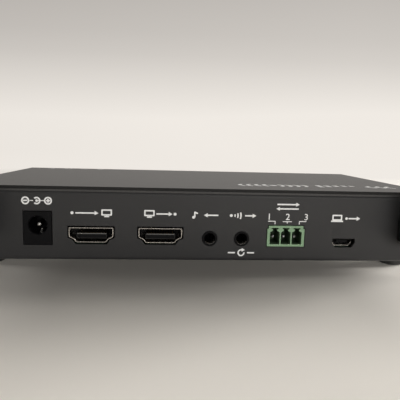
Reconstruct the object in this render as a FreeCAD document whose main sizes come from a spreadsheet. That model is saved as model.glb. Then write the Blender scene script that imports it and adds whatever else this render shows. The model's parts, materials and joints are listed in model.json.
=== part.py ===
import FreeCAD, Part
import Sketcher
import math
import os

# Wireless video extender: a flat sheet-steel box that stands on four rubber feet. All its sockets are
# in one wall, with a folding antenna at each end of that wall. Millimetres, +Z up. The socket wall faces -Y
# and the wall with the status lamps faces +Y. The origin is on the table, under the middle of the outline.

# Driving sizes. x places are measured from the middle of the case, z places from its underside.
SIZES = {
    # sheet-steel case
    "case_width": 165.0,
    "case_depth": 84.0,
    "case_height": 24.6,
    "steel": 1.0,
    "seam": 0.3,
    "side_gap": 0.15,
    "bend_radius": 1.2,
    "cover_bend_radius": 1.6,
    "lip": 6.0,
    "tab_length": 16.0,
    "tab_height": 9.0,
    "vent_count": 9.0,
    "vent_width": 1.6,
    "vent_height": 8.0,
    "vent_pitch": 3.6,
    "vent_level": 11.0,
    # cover screws, and the clearance of a screw in a threaded hole
    "screw_radius": 1.5,
    "screw_length": 5.0,
    "screw_head_radius": 2.7,
    "screw_level": 5.0,
    "thread_gap": 0.05,
    # rubber feet
    "foot_height": 4.5,
    "foot_radius": 6.35,
    "foot_sole_radius": 4.4,
    "foot_inset_side": 7.5,
    "foot_inset_end": 15.0,
    # main board on its pillars
    "board_margin_side": 6.5,
    "board_margin_end": 3.0,
    "board_thickness": 1.6,
    "board_hole_radius": 1.7,
    "board_hole_inset": 4.5,
    "board_hole_inset_end": 9.5,
    "pillar_height": 2.6,
    "pillar_radius": 3.0,
    "board_screw_head_radius": 3.0,
    "board_screw_head_height": 1.7,
    "board_screw_length": 4.0,
    # gap round a socket where it stands in its cut-out, and how far socket fronts stand proud of the wall
    "cutout_gap": 0.2,
    "proud": 0.15,
    # power socket
    "power_place": -54.2,
    "power_width": 9.0,
    "power_height": 11.0,
    "power_flange": 3.4,
    "power_length": 14.4,
    "power_waist": 1.3,
    "power_bore_radius": 2.95,
    "power_bore_level": 6.4,
    "power_bore_depth": 10.0,
    "power_pin_radius": 1.05,
    "power_pin_setback": 1.6,
    "power_spring_length": 6.0,
    "power_spring_height": 1.0,
    "power_spring_lift": 0.6,
    # video sockets
    "video_out_place": -37.0,
    "video_in_place": -14.2,
    "video_width": 15.0,
    "video_height": 5.7,
    "video_length": 11.4,
    "video_skin": 0.3,
    "video_lift": 0.4,
    "video_shoulder": 3.7,
    "video_step_in": 1.5,
    "video_step_down": 0.6,
    "video_floor_width": 10.0,
    "video_tongue_width": 9.8,
    "video_tongue_height": 1.5,
    "video_tongue_drop": 2.45,
    "video_tongue_setback": 1.4,
    "video_back_wall": 3.0,
    "video_contact_count": 10.0,
    "video_contact_pitch": 0.9,
    "video_contact_width": 0.4,
    "video_contact_height": 0.15,
    "video_window_width": 1.9,
    "video_window_length": 5.7,
    # round sound and infra-red sockets
    "sound_place": 2.4,
    "infrared_place": 13.3,
    "jack_width": 6.4,
    "jack_height": 5.0,
    "jack_length": 12.0,
    "jack_collar_radius": 2.5,
    "jack_bore_radius": 1.8,
    "jack_funnel_radius": 2.3,
    "jack_bore_depth": 13.0,
    "jack_contact_thickness": 0.3,
    "jack_contact_width": 1.2,
    "jack_contact_height": 3.0,
    # three-way terminal socket
    "terminal_place": 28.5,
    "terminal_ways": 3.0,
    "terminal_pitch": 3.81,
    "terminal_end": 0.75,
    "terminal_height": 7.2,
    "terminal_length": 9.2,
    "terminal_wall": 0.75,
    "terminal_rib": 0.5,
    "terminal_back": 1.6,
    "terminal_step": 0.45,
    "terminal_step_height": 1.1,
    "terminal_lug": 0.65,
    "terminal_lug_drop": 1.15,
    "terminal_pin": 0.8,
    "terminal_pin_level": 2.9,
    "terminal_pin_setback": 2.6,
    # small data socket
    "data_place": 49.0,
    "data_width": 7.6,
    "data_height": 2.7,
    "data_length": 5.6,
    "data_recess": 0.9,
    "data_skin": 0.3,
    "data_shoulder": 1.3,
    "data_floor_width": 5.6,
    "data_tongue_width": 3.8,
    "data_tongue_height": 0.7,
    "data_tongue_setback": 0.8,
    # status lamps in the front wall
    "lamp_count": 4.0,
    "lamp_inset": 12.5,
    "lamp_pitch": 8.0,
    "lamp_width": 3.2,
    "lamp_height": 1.8,
    "lamp_level": 2.6,
    "lamp_gap": 0.05,
    # video chip with its cooler, and the radio card
    "chip_side": 23.0,
    "chip_height": 1.6,
    "chip_behind_middle": 4.0,
    "pad_height": 0.5,
    "cooler_side": 30.0,
    "cooler_base": 1.8,
    "cooler_height": 8.0,
    "fin_count": 8.0,
    "fin_thickness": 1.2,
    "card_width": 34.0,
    "card_length": 22.0,
    "card_thickness": 1.0,
    "card_place": 6.0,
    "card_gap": 3.0,
    "card_lift": 4.0,
    "card_socket_width": 20.4,
    "card_socket_length": 4.4,
    "card_spacer_radius": 2.3,
    "shield_width": 21.0,
    "shield_length": 17.6,
    "shield_height": 2.4,
    "shield_skin": 0.25,
    # smaller parts on the board
    "small_chip_height": 1.0,
    "memory_width": 8.0,
    "memory_length": 12.0,
    "memory_gap": 3.6,
    "memory_spread": 7.5,
    "inductor_side": 7.0,
    "inductor_height": 4.0,
    "supply_pitch": 9.0,
    "regulator_width": 6.0,
    "regulator_length": 5.0,
    "regulator_height": 1.5,
    "crystal_width": 5.0,
    "crystal_length": 3.2,
    "crystal_place": 30.3,
    "crystal_from_wall": 49.5,
    "sound_chip_side": 7.0,
    "sound_chip_place": 8.4,
    "sound_chip_from_wall": 18.5,
    "serial_chip_width": 6.2,
    "serial_chip_length": 10.0,
    "serial_chip_height": 1.6,
    "serial_chip_from_wall": 20.0,
    "hub_chip_side": 7.0,
    "hub_chip_from_wall": 16.0,
    "capacitor_width": 7.3,
    "capacitor_length": 4.3,
    "capacitor_height": 4.0,
    "capacitor_from_wall": 23.4,
    # folding antennas
    "antenna_inset": 10.15,
    "antenna_level": 11.4,
    "swivel_gap": 0.15,
    "swivel_radius": 5.4,
    "swivel_half_width": 4.3,
    "swivel_thickness": 3.6,
    "neck_radius": 3.2,
    "neck_gap": 0.06,
    "neck_end": 1.2,
    "neck_nut_thickness": 2.4,
    "neck_nut_radius": 5.0,
    "pivot_reach": 10.5,
    "ear_radius": 3.9,
    "tongue_width": 4.1,
    "tongue_gap": 0.12,
    "tongue_radius": 3.6,
    "hinge_pin_radius": 1.0,
    "hinge_gap": 0.05,
    "pin_fit": 0.02,
    "rod_length": 69.0,
    "rod_start": 4.4,
    "rod_radius": 4.9,
    "rod_grip": 13.0,
    "rod_tip_radius": 3.9,
    "rod_bore_radius": 2.6,
    "cap_height": 4.0,
    "element_width": 4.0,
    "element_thickness": 0.8,
    # thin aerial leads
    "lead_radius": 0.6,
    "lead_bore_radius": 0.75,
    "plug_radius": 1.5,
    "plug_height": 1.6,
    "lead_first_run": 24.0,
}

doc = FreeCAD.newDocument("extender")
sheet = doc.addObject("Spreadsheet::Sheet", "Sizes")
for row, (name, value) in enumerate(SIZES.items(), 1):
    sheet.set(f"A{row}", name)
    sheet.set(f"B{row}", str(value))
    sheet.setAlias(f"B{row}", name)
doc.recompute()


class Size:
    """A length that carries its number and the formula that ties it to the sheet."""

    def __init__(self, number, formula):
        self.number, self.formula = number, formula

    def joined(self, sign, other, number):
        return Size(number, f"({self.formula} {sign} {formula_of(other)})")

    def __add__(self, other):
        return self.joined("+", other, self.number + number_of(other))

    def __sub__(self, other):
        return self.joined("-", other, self.number - number_of(other))

    def __mul__(self, other):
        return self.joined("*", other, self.number * number_of(other))

    def __truediv__(self, other):
        return self.joined("/", other, self.number / number_of(other))

    def __neg__(self):
        return Size(-self.number, f"(0 - {self.formula})")

    def __rsub__(self, other):
        return -self + other

    __radd__, __rmul__ = __add__, __mul__


def number_of(size):
    return size.number if isinstance(size, Size) else float(size)


def formula_of(size):
    return size.formula if isinstance(size, Size) else f"({float(size)})"


class Cells:
    """Reads a size from the sheet by its name."""

    def __getattr__(self, name):
        return Size(float(sheet.get(name)), f"Sizes.{name}")


cell = Cells()
SUBPARTS = []


def tie(thing, **sizes):
    """Ties properties to the sheet. A double underscore stands for the dot in a property's path."""
    for path, size in sizes.items():
        thing.setExpression(path.replace("__", "."), formula_of(size))


def subpart(thing, label):
    """Names a finished piece, which is later written to its own file."""
    thing.Label = label
    SUBPARTS.append(thing)
    return thing


# Plain solids and booleans


def placed(thing, x, y, z):
    tie(thing, Placement__Base__x=x, Placement__Base__y=y, Placement__Base__z=z)
    return thing


def block(length, width, height, x, y, z):
    """A box with its middle at x and y, and its underside at z."""
    box = doc.addObject("Part::Box", "Block")
    tie(box, Length=length, Width=width, Height=height)
    return placed(box, x - length / 2, y - width / 2, z)


TURNS = {
    "x": FreeCAD.Rotation(FreeCAD.Vector(0, 1, 0), 90),
    "y": FreeCAD.Rotation(FreeCAD.Vector(1, 0, 0), -90),
    "z": FreeCAD.Rotation(),
    "-x": FreeCAD.Rotation(FreeCAD.Vector(0, 1, 0), -90),
    "-y": FreeCAD.Rotation(FreeCAD.Vector(1, 0, 0), 90),
    "-z": FreeCAD.Rotation(FreeCAD.Vector(1, 0, 0), 180),
}


def bar(radius, length, x, y, z, along="z"):
    """A round bar that starts at a point and runs along an axis."""
    cylinder = doc.addObject("Part::Cylinder", "Bar")
    tie(cylinder, Radius=radius, Height=length)
    cylinder.Placement.Rotation = TURNS[along]
    return placed(cylinder, x, y, z)


def taper(radius, end_radius, length, x, y, z, along="z"):
    """A cone or funnel that starts at a point and runs along an axis."""
    cone = doc.addObject("Part::Cone", "Taper")
    tie(cone, Radius1=radius, Radius2=end_radius, Height=length)
    cone.Placement.Rotation = TURNS[along]
    return placed(cone, x, y, z)


def hexagon(radius, length, x, y, z, along="z"):
    """A six-sided bar, measured from its middle to a corner."""
    prism = doc.addObject("Part::Prism", "Hexagon")
    prism.Polygon = 6
    tie(prism, Circumradius=radius, Height=length)
    prism.Placement.Rotation = TURNS[along]
    return placed(prism, x, y, z)


def group(solids, label="Joined"):
    """Fuses solids. Those that stand apart stay separate solids of one piece."""
    solids = list(solids)
    if len(solids) == 1:
        return solids[0]
    fused = doc.addObject("Part::MultiFuse", label)
    fused.Shapes = solids
    return fused


def cut(base, *tools):
    """Takes the tools' space out of a solid."""
    result = doc.addObject("Part::Cut", "Trimmed")
    result.Base = base
    result.Tool = tools[0] if len(tools) == 1 else group(tools)
    return result


def overlap(*solids):
    """Keeps only what two solids share."""
    result = doc.addObject("Part::Common", "Shared")
    result.Base, result.Tool = solids
    return result


def count(size):
    return int(round(number_of(size)))


# Bodies shaped by sketches


class Bench:
    """One body and the features that shape it. A level is the sketch plane's place along its own axis."""

    def __init__(self, label):
        self.body = subpart(doc.addObject("PartDesign::Body", label), label)

    def sketch(self, plane, level, outlines=(), circles=()):
        """Draws closed outlines and circles on a plane. Every corner and centre is tied to the sheet."""
        drawing = self.body.newObject("Sketcher::SketchObject", "Sketch")
        origin = next(f for f in self.body.Origin.OriginFeatures if f.Role == plane)
        drawing.AttachmentSupport = (origin, [""])
        drawing.MapMode = "FlatFace"
        tie(drawing, AttachmentOffset__Base__z=-level if plane == "XZ_Plane" else level)
        for corners in outlines:
            self.outline(drawing, corners)
        for x, y, radius in circles:
            spot = FreeCAD.Vector(number_of(x), number_of(y), 0)
            circle = drawing.addGeometry(Part.Circle(spot, FreeCAD.Vector(0, 0, 1), number_of(radius)), False)
            held = drawing.addConstraint(Sketcher.Constraint("Radius", circle, number_of(radius)))
            drawing.setExpression(f"Constraints[{held}]", formula_of(radius))
            self.hold(drawing, circle, 3, x, y)
        return drawing

    def outline(self, drawing, corners):
        spots = [FreeCAD.Vector(number_of(x), number_of(y), 0) for x, y in corners]
        edges = [
            drawing.addGeometry(Part.LineSegment(spot, spots[(i + 1) % len(spots)]), False)
            for i, spot in enumerate(spots)
        ]
        for i, edge in enumerate(edges):
            drawing.addConstraint(Sketcher.Constraint("Coincident", edge, 2, edges[(i + 1) % len(edges)], 1))
        for edge, (x, y) in zip(edges, corners):
            self.hold(drawing, edge, 1, x, y)

    def hold(self, drawing, thing, point, x, y):
        for kind, size in (("DistanceX", x), ("DistanceY", y)):
            held = drawing.addConstraint(Sketcher.Constraint(kind, -1, 1, thing, point, number_of(size)))
            drawing.setExpression(f"Constraints[{held}]", formula_of(size))

    def feature(self, kind, drawing, length, reverse):
        made = self.body.newObject(f"PartDesign::{kind}", kind)
        made.Profile = drawing
        tie(made, Length=length)
        made.Reversed = reverse
        drawing.Visibility = False
        doc.recompute()
        return made

    def pad(self, drawing, length, reverse=False):
        return self.feature("Pad", drawing, length, reverse)

    def pocket(self, drawing, length, reverse=False):
        before = self.body.Shape.Volume
        made = self.feature("Pocket", drawing, length, reverse)
        if self.body.Shape.Volume > before - 1e-6:
            raise RuntimeError(f"{self.body.Label}: a pocket cut nothing")
        return made

    def countersink(self, radius, end_radius, depth, x, y, z, along):
        """Takes a cone that starts at a point and runs along an axis out of the body."""
        before = self.body.Shape.Volume
        cone = self.body.newObject("PartDesign::SubtractiveCone", "Countersink")
        tie(cone, Radius1=radius, Radius2=end_radius, Height=depth)
        cone.Placement.Rotation = TURNS[along]
        placed(cone, x, y, z)
        doc.recompute()
        if self.body.Shape.Volume > before - 1e-6:
            raise RuntimeError(f"{self.body.Label}: a countersink cut nothing")
        return cone

    def turned(self, drawing, axis):
        """Turns a half outline once round an axis of its sketch."""
        made = self.body.newObject("PartDesign::Revolution", "Revolution")
        made.Profile = drawing
        made.ReferenceAxis = (drawing, [axis])
        made.Angle = 360
        doc.recompute()
        return made

    def dressed(self, kind, size, chosen):
        """Rounds or bevels the edges that a test picks by their middle point and direction."""
        last = self.body.Tip
        names = [
            f"Edge{i}"
            for i, edge in enumerate(last.Shape.Edges, 1)
            if chosen(edge)
        ]
        made = self.body.newObject(f"PartDesign::{kind}", kind)
        made.Base = (last, names)
        tie(made, **{"Radius" if kind == "Fillet" else "Size": size})
        doc.recompute()
        return made


def runs_along(edge, axis):
    """Is an edge straight, and along an axis?"""
    if edge.Curve.TypeId != "Part::GeomLine":
        return False
    return abs(abs(edge.tangentAt(edge.FirstParameter).dot(axis)) - 1) < 1e-6


def near(a, b):
    return abs(a - number_of(b)) < 1e-4


def rectangle(x, y, width, height):
    """Corners of a rectangle with its middle at x and its lower side at y."""
    left, right, top = x - width / 2, x + width / 2, y + height
    return [(left, y), (right, y), (right, top), (left, top)]


X_AXIS, Y_AXIS, Z_AXIS = FreeCAD.Vector(1, 0, 0), FreeCAD.Vector(0, 1, 0), FreeCAD.Vector(0, 0, 1)

# Places that several pieces share
case_bottom = cell.foot_height
case_top = case_bottom + cell.case_height
reach = cell.pivot_reach + cell.rod_radius
rear = (reach - cell.case_depth - cell.proud) / 2
front = rear + cell.case_depth
inside_rear = rear + cell.steel
inside_front = front - cell.steel
tray_floor = case_bottom + cell.steel
tray_top = case_top - cell.steel - cell.seam
tray_width = cell.case_width - (cell.steel + cell.side_gap) * 2
board_bottom = tray_floor + cell.pillar_height
board_top = board_bottom + cell.board_thickness
board_width = cell.case_width - cell.board_margin_side * 2
board_length = cell.case_depth - cell.board_margin_end * 2
board_rear = rear + cell.board_margin_end
board_middle = rear + cell.case_depth / 2
socket_front = rear - cell.proud
hole_x = board_width / 2 - cell.board_hole_inset
hole_y = board_length / 2 - cell.board_hole_inset_end
BOARD_HOLES = [(side * hole_x, board_middle + end * hole_y) for side in (-1, 1) for end in (-1, 1)]
screw_height = case_bottom + cell.screw_level
jack_axis = board_top + cell.jack_height / 2
power_axis = board_top + cell.power_bore_level
video_bottom = board_top + cell.video_lift
video_top = video_bottom + cell.video_height
data_bottom = board_top
antenna_place = cell.case_width / 2 - cell.antenna_inset
antenna_axis = case_bottom + cell.antenna_level
pivot_y = rear - cell.pivot_reach
lamp_axis = board_top + cell.lamp_level
lamp_first = cell.lamp_inset - cell.case_width / 2
lamp_places = [lamp_first + cell.lamp_pitch * i for i in range(count(cell.lamp_count))]
chip_from_wall = cell.case_depth / 2 - cell.chip_behind_middle
card_middle = rear + chip_from_wall + cell.cooler_side / 2 + cell.card_gap + cell.card_length / 2
terminal_width = cell.terminal_pitch * cell.terminal_ways + cell.terminal_end * 2
terminal_pin_low = board_top + cell.terminal_pin_level - cell.terminal_pin / 2
data_front = rear + cell.data_recess

# The share of an outline's growth by which its floor corners move sideways, because its lower sides slope
SLOPED_SHARE = 0.6


def video_outline(x, grow, top=video_top, bottom=video_bottom):
    """The video socket's face: full width above, then a shallow step and a steep one to a narrower floor."""
    half = cell.video_width / 2 + grow
    step = half - cell.video_step_in
    floor = cell.video_floor_width / 2 + grow * SLOPED_SHARE
    high, low = top + grow, bottom - grow
    shoulder = top - cell.video_shoulder
    step_level = shoulder - cell.video_step_down
    right = [(floor, low), (step, step_level), (half, shoulder), (half, high)]
    left = [(-across, level) for across, level in reversed(right)]
    return [(x + across, level) for across, level in right + left]


def data_outline(grow):
    """The small data socket's face: wide above, with its lower corners cut off."""
    half = cell.data_width / 2 + grow
    floor = cell.data_floor_width / 2 + grow * SLOPED_SHARE
    high, low = data_bottom + cell.data_height + grow, data_bottom - grow
    shoulder = data_bottom + cell.data_height - cell.data_shoulder
    right = [(floor, low), (half, shoulder), (half, high)]
    left = [(-across, level) for across, level in reversed(right)]
    return [(cell.data_place + across, level) for across, level in right + left]


def terminal_outline(grow):
    """The terminal socket's face, with its narrower top strip."""
    half = terminal_width / 2 + grow
    strip = half - cell.terminal_step
    low, high = board_top - grow, board_top + cell.terminal_height + grow
    step = high - cell.terminal_step_height
    right = [(half, low), (half, step), (strip, step), (strip, high)]
    left = [(-across, level) for across, level in reversed(right)]
    return [(cell.terminal_place + across, level) for across, level in right + left]


# The case


def base_tray():
    """Floor, socket wall and lamp wall, bent from one sheet, with a screw tab at each side."""
    bench = Bench("base_tray")
    thick, lip = cell.steel, cell.lip
    outer = [(rear, case_bottom), (front, case_bottom), (front, tray_top), (front - lip, tray_top)]
    inner = [(front - lip, tray_top - thick), (inside_front, tray_top - thick), (inside_front, tray_floor)]
    inner += [(inside_rear, tray_floor), (inside_rear, tray_top - thick), (rear + lip, tray_top - thick)]
    outer_end = [(rear + lip, tray_top), (rear, tray_top)]
    bench.pad(bench.sketch("YZ_Plane", -tray_width / 2, [outer + inner + outer_end]), tray_width)
    corners = [(rear, case_bottom), (front, case_bottom), (rear, tray_top), (front, tray_top)]
    bench.dressed("Fillet", cell.bend_radius, lambda edge: runs_along(edge, X_AXIS) and any(
        near(edge.CenterOfMass.y, y) and near(edge.CenterOfMass.z, z) for y, z in corners))
    tab_x = tray_width / 2 - thick / 2
    tabs = [rectangle(side * tab_x, board_middle - cell.tab_length / 2, thick, cell.tab_length)
            for side in (-1, 1)]
    bench.pad(bench.sketch("XY_Plane", tray_floor, tabs), cell.tab_height)
    thread = cell.screw_radius + cell.thread_gap
    threads = [(board_middle, screw_height, thread)]
    bench.pocket(bench.sketch("YZ_Plane", tray_width / 2, circles=threads), tray_width)
    gap = cell.cutout_gap
    openings = [video_outline(cell.video_out_place, gap), video_outline(cell.video_in_place, gap)]
    openings += [data_outline(gap), terminal_outline(gap)]
    openings.append(rectangle(cell.power_place, board_top - gap, cell.power_width + gap * 2,
                              cell.power_height + gap * 2))
    neck = cell.neck_radius + cell.neck_gap
    collar = cell.jack_collar_radius + gap / 2
    rounds = [(side * antenna_place, antenna_axis, neck) for side in (-1, 1)]
    rounds += [(x, jack_axis, collar) for x in (cell.sound_place, cell.infrared_place)]
    bench.pocket(bench.sketch("XZ_Plane", rear, openings, rounds), thick * 2)
    room = cell.lamp_gap
    lamps = [rectangle(x, lamp_axis - cell.lamp_height / 2 - room, cell.lamp_width + room * 2,
                       cell.lamp_height + room * 2) for x in lamp_places]
    bench.pocket(bench.sketch("XZ_Plane", front - thick * 2, lamps), thick * 2)


def top_cover():
    """Lid and both side walls, bent from one sheet. Its edges lie flush with the tray's end walls."""
    bench = Bench("top_cover")
    half, thick = cell.case_width / 2, cell.steel
    outer = [(-half, case_bottom), (-half, case_top), (half, case_top), (half, case_bottom)]
    inner = [(half - thick, case_bottom), (half - thick, case_top - thick)]
    inner += [(thick - half, case_top - thick), (thick - half, case_bottom)]
    bench.pad(bench.sketch("XZ_Plane", rear, [outer + inner]), cell.case_depth, reverse=True)
    bench.dressed("Fillet", cell.cover_bend_radius, lambda edge: runs_along(edge, Y_AXIS) and near(
        edge.CenterOfMass.z, case_top) and near(abs(edge.CenterOfMass.x), half))
    first = board_middle - cell.vent_pitch * (cell.vent_count - 1) / 2
    level = case_bottom + cell.vent_level
    slots = [rectangle(first + cell.vent_pitch * i, level, cell.vent_width, cell.vent_height)
             for i in range(count(cell.vent_count))]
    bench.pocket(bench.sketch("YZ_Plane", half, slots), cell.case_width)
    head = cell.screw_head_radius
    for side, along in ((-1, "x"), (1, "-x")):
        bench.countersink(head, head - thick, thick, side * half, board_middle, screw_height, along)


def cover_screws():
    """Two countersunk screws, flush with the cover's side walls."""
    half, head = cell.case_width / 2, cell.screw_head_radius - cell.thread_gap
    depth = head - cell.screw_radius
    made = []
    for side, along in ((-1, "x"), (1, "-x")):
        cone = taper(head, cell.screw_radius, depth, side * half, board_middle, screw_height, along)
        shank = bar(cell.screw_radius, cell.screw_length, side * half, board_middle, screw_height, along)
        made.append(group([cone, shank]))
    subpart(group(made), "cover_screws")


def rubber_feet():
    """Four stick-on feet that draw in towards their flat soles."""
    made = []
    for side in (-1, 1):
        for y in (rear + cell.foot_inset_end, front - cell.foot_inset_end):
            x = side * (cell.case_width / 2 - cell.foot_inset_side)
            made.append(taper(cell.foot_sole_radius, cell.foot_radius, cell.foot_height, x, y, 0))
    subpart(group(made), "rubber_feet")


# The main board and what holds it


def board_pillars():
    """Four threaded hexagonal pillars riveted to the tray's floor."""
    made = []
    for x, y in BOARD_HOLES:
        pillar = hexagon(cell.pillar_radius, cell.pillar_height, x, y, tray_floor)
        thread = bar(cell.screw_radius + cell.thread_gap, cell.pillar_height, x, y, tray_floor)
        made.append(cut(pillar, thread))
    subpart(group(made), "board_pillars")


def board_screws():
    made = []
    for x, y in BOARD_HOLES:
        head = hexagon(cell.board_screw_head_radius, cell.board_screw_head_height, x, y, board_top)
        shank = bar(cell.screw_radius, cell.board_screw_length, x, y, board_top - cell.board_screw_length)
        made.append(group([head, shank]))
    subpart(group(made), "board_screws")


def main_board():
    bench = Bench("main_board")
    plate = rectangle(0, board_rear, board_width, board_length)
    holes = [(x, y, cell.board_hole_radius) for x, y in BOARD_HOLES]
    bench.pad(bench.sketch("XY_Plane", board_bottom, [plate], holes), cell.board_thickness)
    bench.dressed("Chamfer", cell.steel, lambda edge: runs_along(edge, Z_AXIS) and near(
        abs(edge.CenterOfMass.x), board_width / 2))


# Sockets in the rear wall


def power_socket():
    """Barrel power socket: a housing with a tall front flange, a centre pin and a side spring."""
    x, wide = cell.power_place, cell.power_width
    bench = Bench("power_housing")
    face = rectangle(x, board_top, wide, cell.power_height)
    bench.pad(bench.sketch("XZ_Plane", socket_front, [face]), cell.power_flange, reverse=True)
    waist = rectangle(x, board_top, wide, cell.power_height - cell.power_waist)
    bench.pad(bench.sketch("XZ_Plane", socket_front + cell.power_flange, [waist]),
              cell.power_length - cell.power_flange, reverse=True)
    bench.dressed("Fillet", cell.power_waist, lambda edge: runs_along(edge, Y_AXIS) and near(
        edge.CenterOfMass.z, board_top + cell.power_height - cell.power_waist))
    bench.pocket(bench.sketch("XZ_Plane", socket_front, circles=[(x, power_axis, cell.power_bore_radius)]),
                 cell.power_bore_depth)
    bench.dressed("Chamfer", cell.power_waist / 4, lambda edge: (
        edge.Curve.TypeId == "Part::GeomCircle" and near(edge.CenterOfMass.y, socket_front)))
    pin_length = cell.power_bore_depth - cell.power_pin_setback
    pin_start = socket_front + cell.power_pin_setback
    subpart(bar(cell.power_pin_radius, pin_length, x, pin_start, power_axis, "y"), "power_pin")
    leaf = cell.jack_contact_thickness
    deepest = socket_front + cell.power_bore_depth
    arm = block(leaf, cell.power_spring_length, cell.power_spring_height,
                x + cell.power_bore_radius - cell.power_spring_lift, deepest - cell.power_spring_length / 2,
                power_axis - cell.power_spring_height / 2)
    subpart(arm, "power_spring")


def video_socket(label, x):
    """Metal shell round a plastic insert with a tongue that carries the contacts."""
    bench = Bench(f"{label}_shell")
    skin = cell.video_skin
    bench.pad(bench.sketch("XZ_Plane", socket_front, [video_outline(x, 0), video_outline(x, -skin)]),
              cell.video_length, reverse=True)
    bench.dressed("Fillet", skin * 1.5, lambda edge: (
        runs_along(edge, Y_AXIS) and near(edge.CenterOfMass.z, video_top)
        and near(abs(edge.CenterOfMass.x - number_of(x)), cell.video_width / 2)))
    window_y = socket_front + (cell.video_length - cell.video_window_length) / 2
    windows = [rectangle(x + side * cell.video_width / 4, window_y, cell.video_window_width,
                         cell.video_window_length) for side in (-1, 1)]
    bench.pocket(bench.sketch("XY_Plane", video_top, windows), skin)
    fit = cell.pin_fit
    insert = Bench(f"{label}_insert")
    back = cell.video_back_wall
    back_face = [video_outline(x, -skin - fit)]
    back_y = socket_front + cell.video_length - back
    insert.pad(insert.sketch("XZ_Plane", back_y, back_face), back, reverse=True)
    tongue_top = video_top - cell.video_tongue_drop
    start = socket_front + cell.video_tongue_setback
    thick = cell.video_tongue_height
    tongue = rectangle(x, tongue_top - thick, cell.video_tongue_width, thick)
    insert.pad(insert.sketch("XZ_Plane", start, [tongue]),
               cell.video_length - back - cell.video_tongue_setback, reverse=True)
    strip_length = cell.video_length - back - cell.video_tongue_setback * 1.5
    strip_y = start + cell.video_tongue_setback / 2 + strip_length / 2
    across = (cell.video_contact_count - 1) / 2
    strips = []
    for i in range(count(cell.video_contact_count)):
        place = x + cell.video_contact_pitch * (i - across)
        for level in (tongue_top, tongue_top - thick - cell.video_contact_height):
            strips.append(block(cell.video_contact_width, strip_length, cell.video_contact_height,
                                place, strip_y, level))
    subpart(group(strips), f"{label}_contacts")


def round_socket(label, x):
    """Round socket: a body behind the wall, a collar in the wall's hole and a funnel-mouthed bore."""
    bench = Bench(f"{label}_body")
    body_rear = inside_rear + cell.cutout_gap + cell.jack_length
    bench.pad(bench.sketch("XZ_Plane", inside_rear + cell.cutout_gap,
                           [rectangle(x, board_top, cell.jack_width, cell.jack_height)]),
              cell.jack_length, reverse=True)
    bench.pad(bench.sketch("XZ_Plane", socket_front, circles=[(x, jack_axis, cell.jack_collar_radius)]),
              cell.proud + cell.steel + cell.cutout_gap, reverse=True)
    bench.pocket(bench.sketch("XZ_Plane", socket_front, circles=[(x, jack_axis, cell.jack_bore_radius)]),
                 cell.jack_bore_depth)
    bench.dressed("Chamfer", cell.jack_funnel_radius - cell.jack_bore_radius, lambda edge: (
        edge.Curve.TypeId == "Part::GeomCircle" and near(edge.CenterOfMass.y, socket_front)
        and near(edge.Curve.Radius, cell.jack_bore_radius)))
    leaf, wide, high = cell.jack_contact_thickness, cell.jack_contact_width, cell.jack_contact_height
    legs = [block(wide, leaf, high, x, body_rear + leaf / 2, board_top)]
    for side in (-1, 1):
        for third in (1, 2):
            legs.append(block(leaf, wide, high, x + side * (cell.jack_width / 2 + leaf / 2),
                              body_rear - cell.jack_length * third / 3, board_top))
    subpart(group(legs), f"{label}_contacts")


def terminal_socket():
    """Three-way socket for a plug-in screw terminal: cavities, thin ribs between them, keying lugs above."""
    bench = Bench("terminal_housing")
    x, wall = cell.terminal_place, cell.terminal_wall
    face = bench.sketch("XZ_Plane", socket_front, [terminal_outline(0)])
    bench.pad(face, cell.terminal_length, reverse=True)
    ways = count(cell.terminal_ways)
    places = [x + cell.terminal_pitch * (i - (cell.terminal_ways - 1) / 2) for i in range(ways)]
    room = cell.terminal_pitch - cell.terminal_rib
    high = board_top + cell.terminal_height - wall
    lug_level = board_top + cell.terminal_height - cell.terminal_lug_drop
    key = room - cell.terminal_lug * 2
    cavities = []
    for place in places:
        half, slot = room / 2, key / 2
        low = board_top + wall
        right = [(half, low), (half, lug_level - cell.terminal_rib), (slot, lug_level), (slot, high)]
        left = [(-across, level) for across, level in reversed(right)]
        cavities.append([(place + across, level) for across, level in right + left])
    depth = cell.terminal_length - cell.terminal_back
    bench.pocket(bench.sketch("XZ_Plane", socket_front, cavities), depth)
    thick = cell.terminal_pin
    square = thick + cell.pin_fit * 2
    holes = [rectangle(place, terminal_pin_low - cell.pin_fit, square, square) for place in places]
    bench.pocket(bench.sketch("XZ_Plane", socket_front + depth, holes), cell.terminal_back)
    pins = []
    length = depth - cell.terminal_pin_setback + cell.terminal_back + thick
    for place in places:
        start = socket_front + cell.terminal_pin_setback
        blade = block(thick, length, thick, place, start + length / 2, terminal_pin_low)
        foot_y = start + length - thick / 2
        leg = block(thick, thick, terminal_pin_low - board_top + thick / 2, place, foot_y, board_top)
        pins.append(group([blade, leg]))
    subpart(group(pins), "terminal_pins")


def data_socket():
    """Small data socket: a folded shell with a tongue, set back into the wall's cut-out."""
    bench = Bench("data_shell")
    skin = cell.data_skin
    start = data_front
    length = cell.data_length + cell.steel - cell.data_recess
    faces = [data_outline(0), data_outline(-skin)]
    bench.pad(bench.sketch("XZ_Plane", start, faces), length, reverse=True)
    insert = Bench("data_insert")
    back = cell.data_length / 4
    insert.pad(insert.sketch("XZ_Plane", start + length - back, [data_outline(-skin - cell.pin_fit)]), back,
               reverse=True)
    level = data_bottom + cell.data_height - cell.data_shoulder / 2 - cell.data_tongue_height
    tongue = rectangle(cell.data_place, level, cell.data_tongue_width, cell.data_tongue_height)
    insert.pad(insert.sketch("XZ_Plane", start + cell.data_tongue_setback, [tongue]),
               length - back - cell.data_tongue_setback, reverse=True)


# What the board carries


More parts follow.
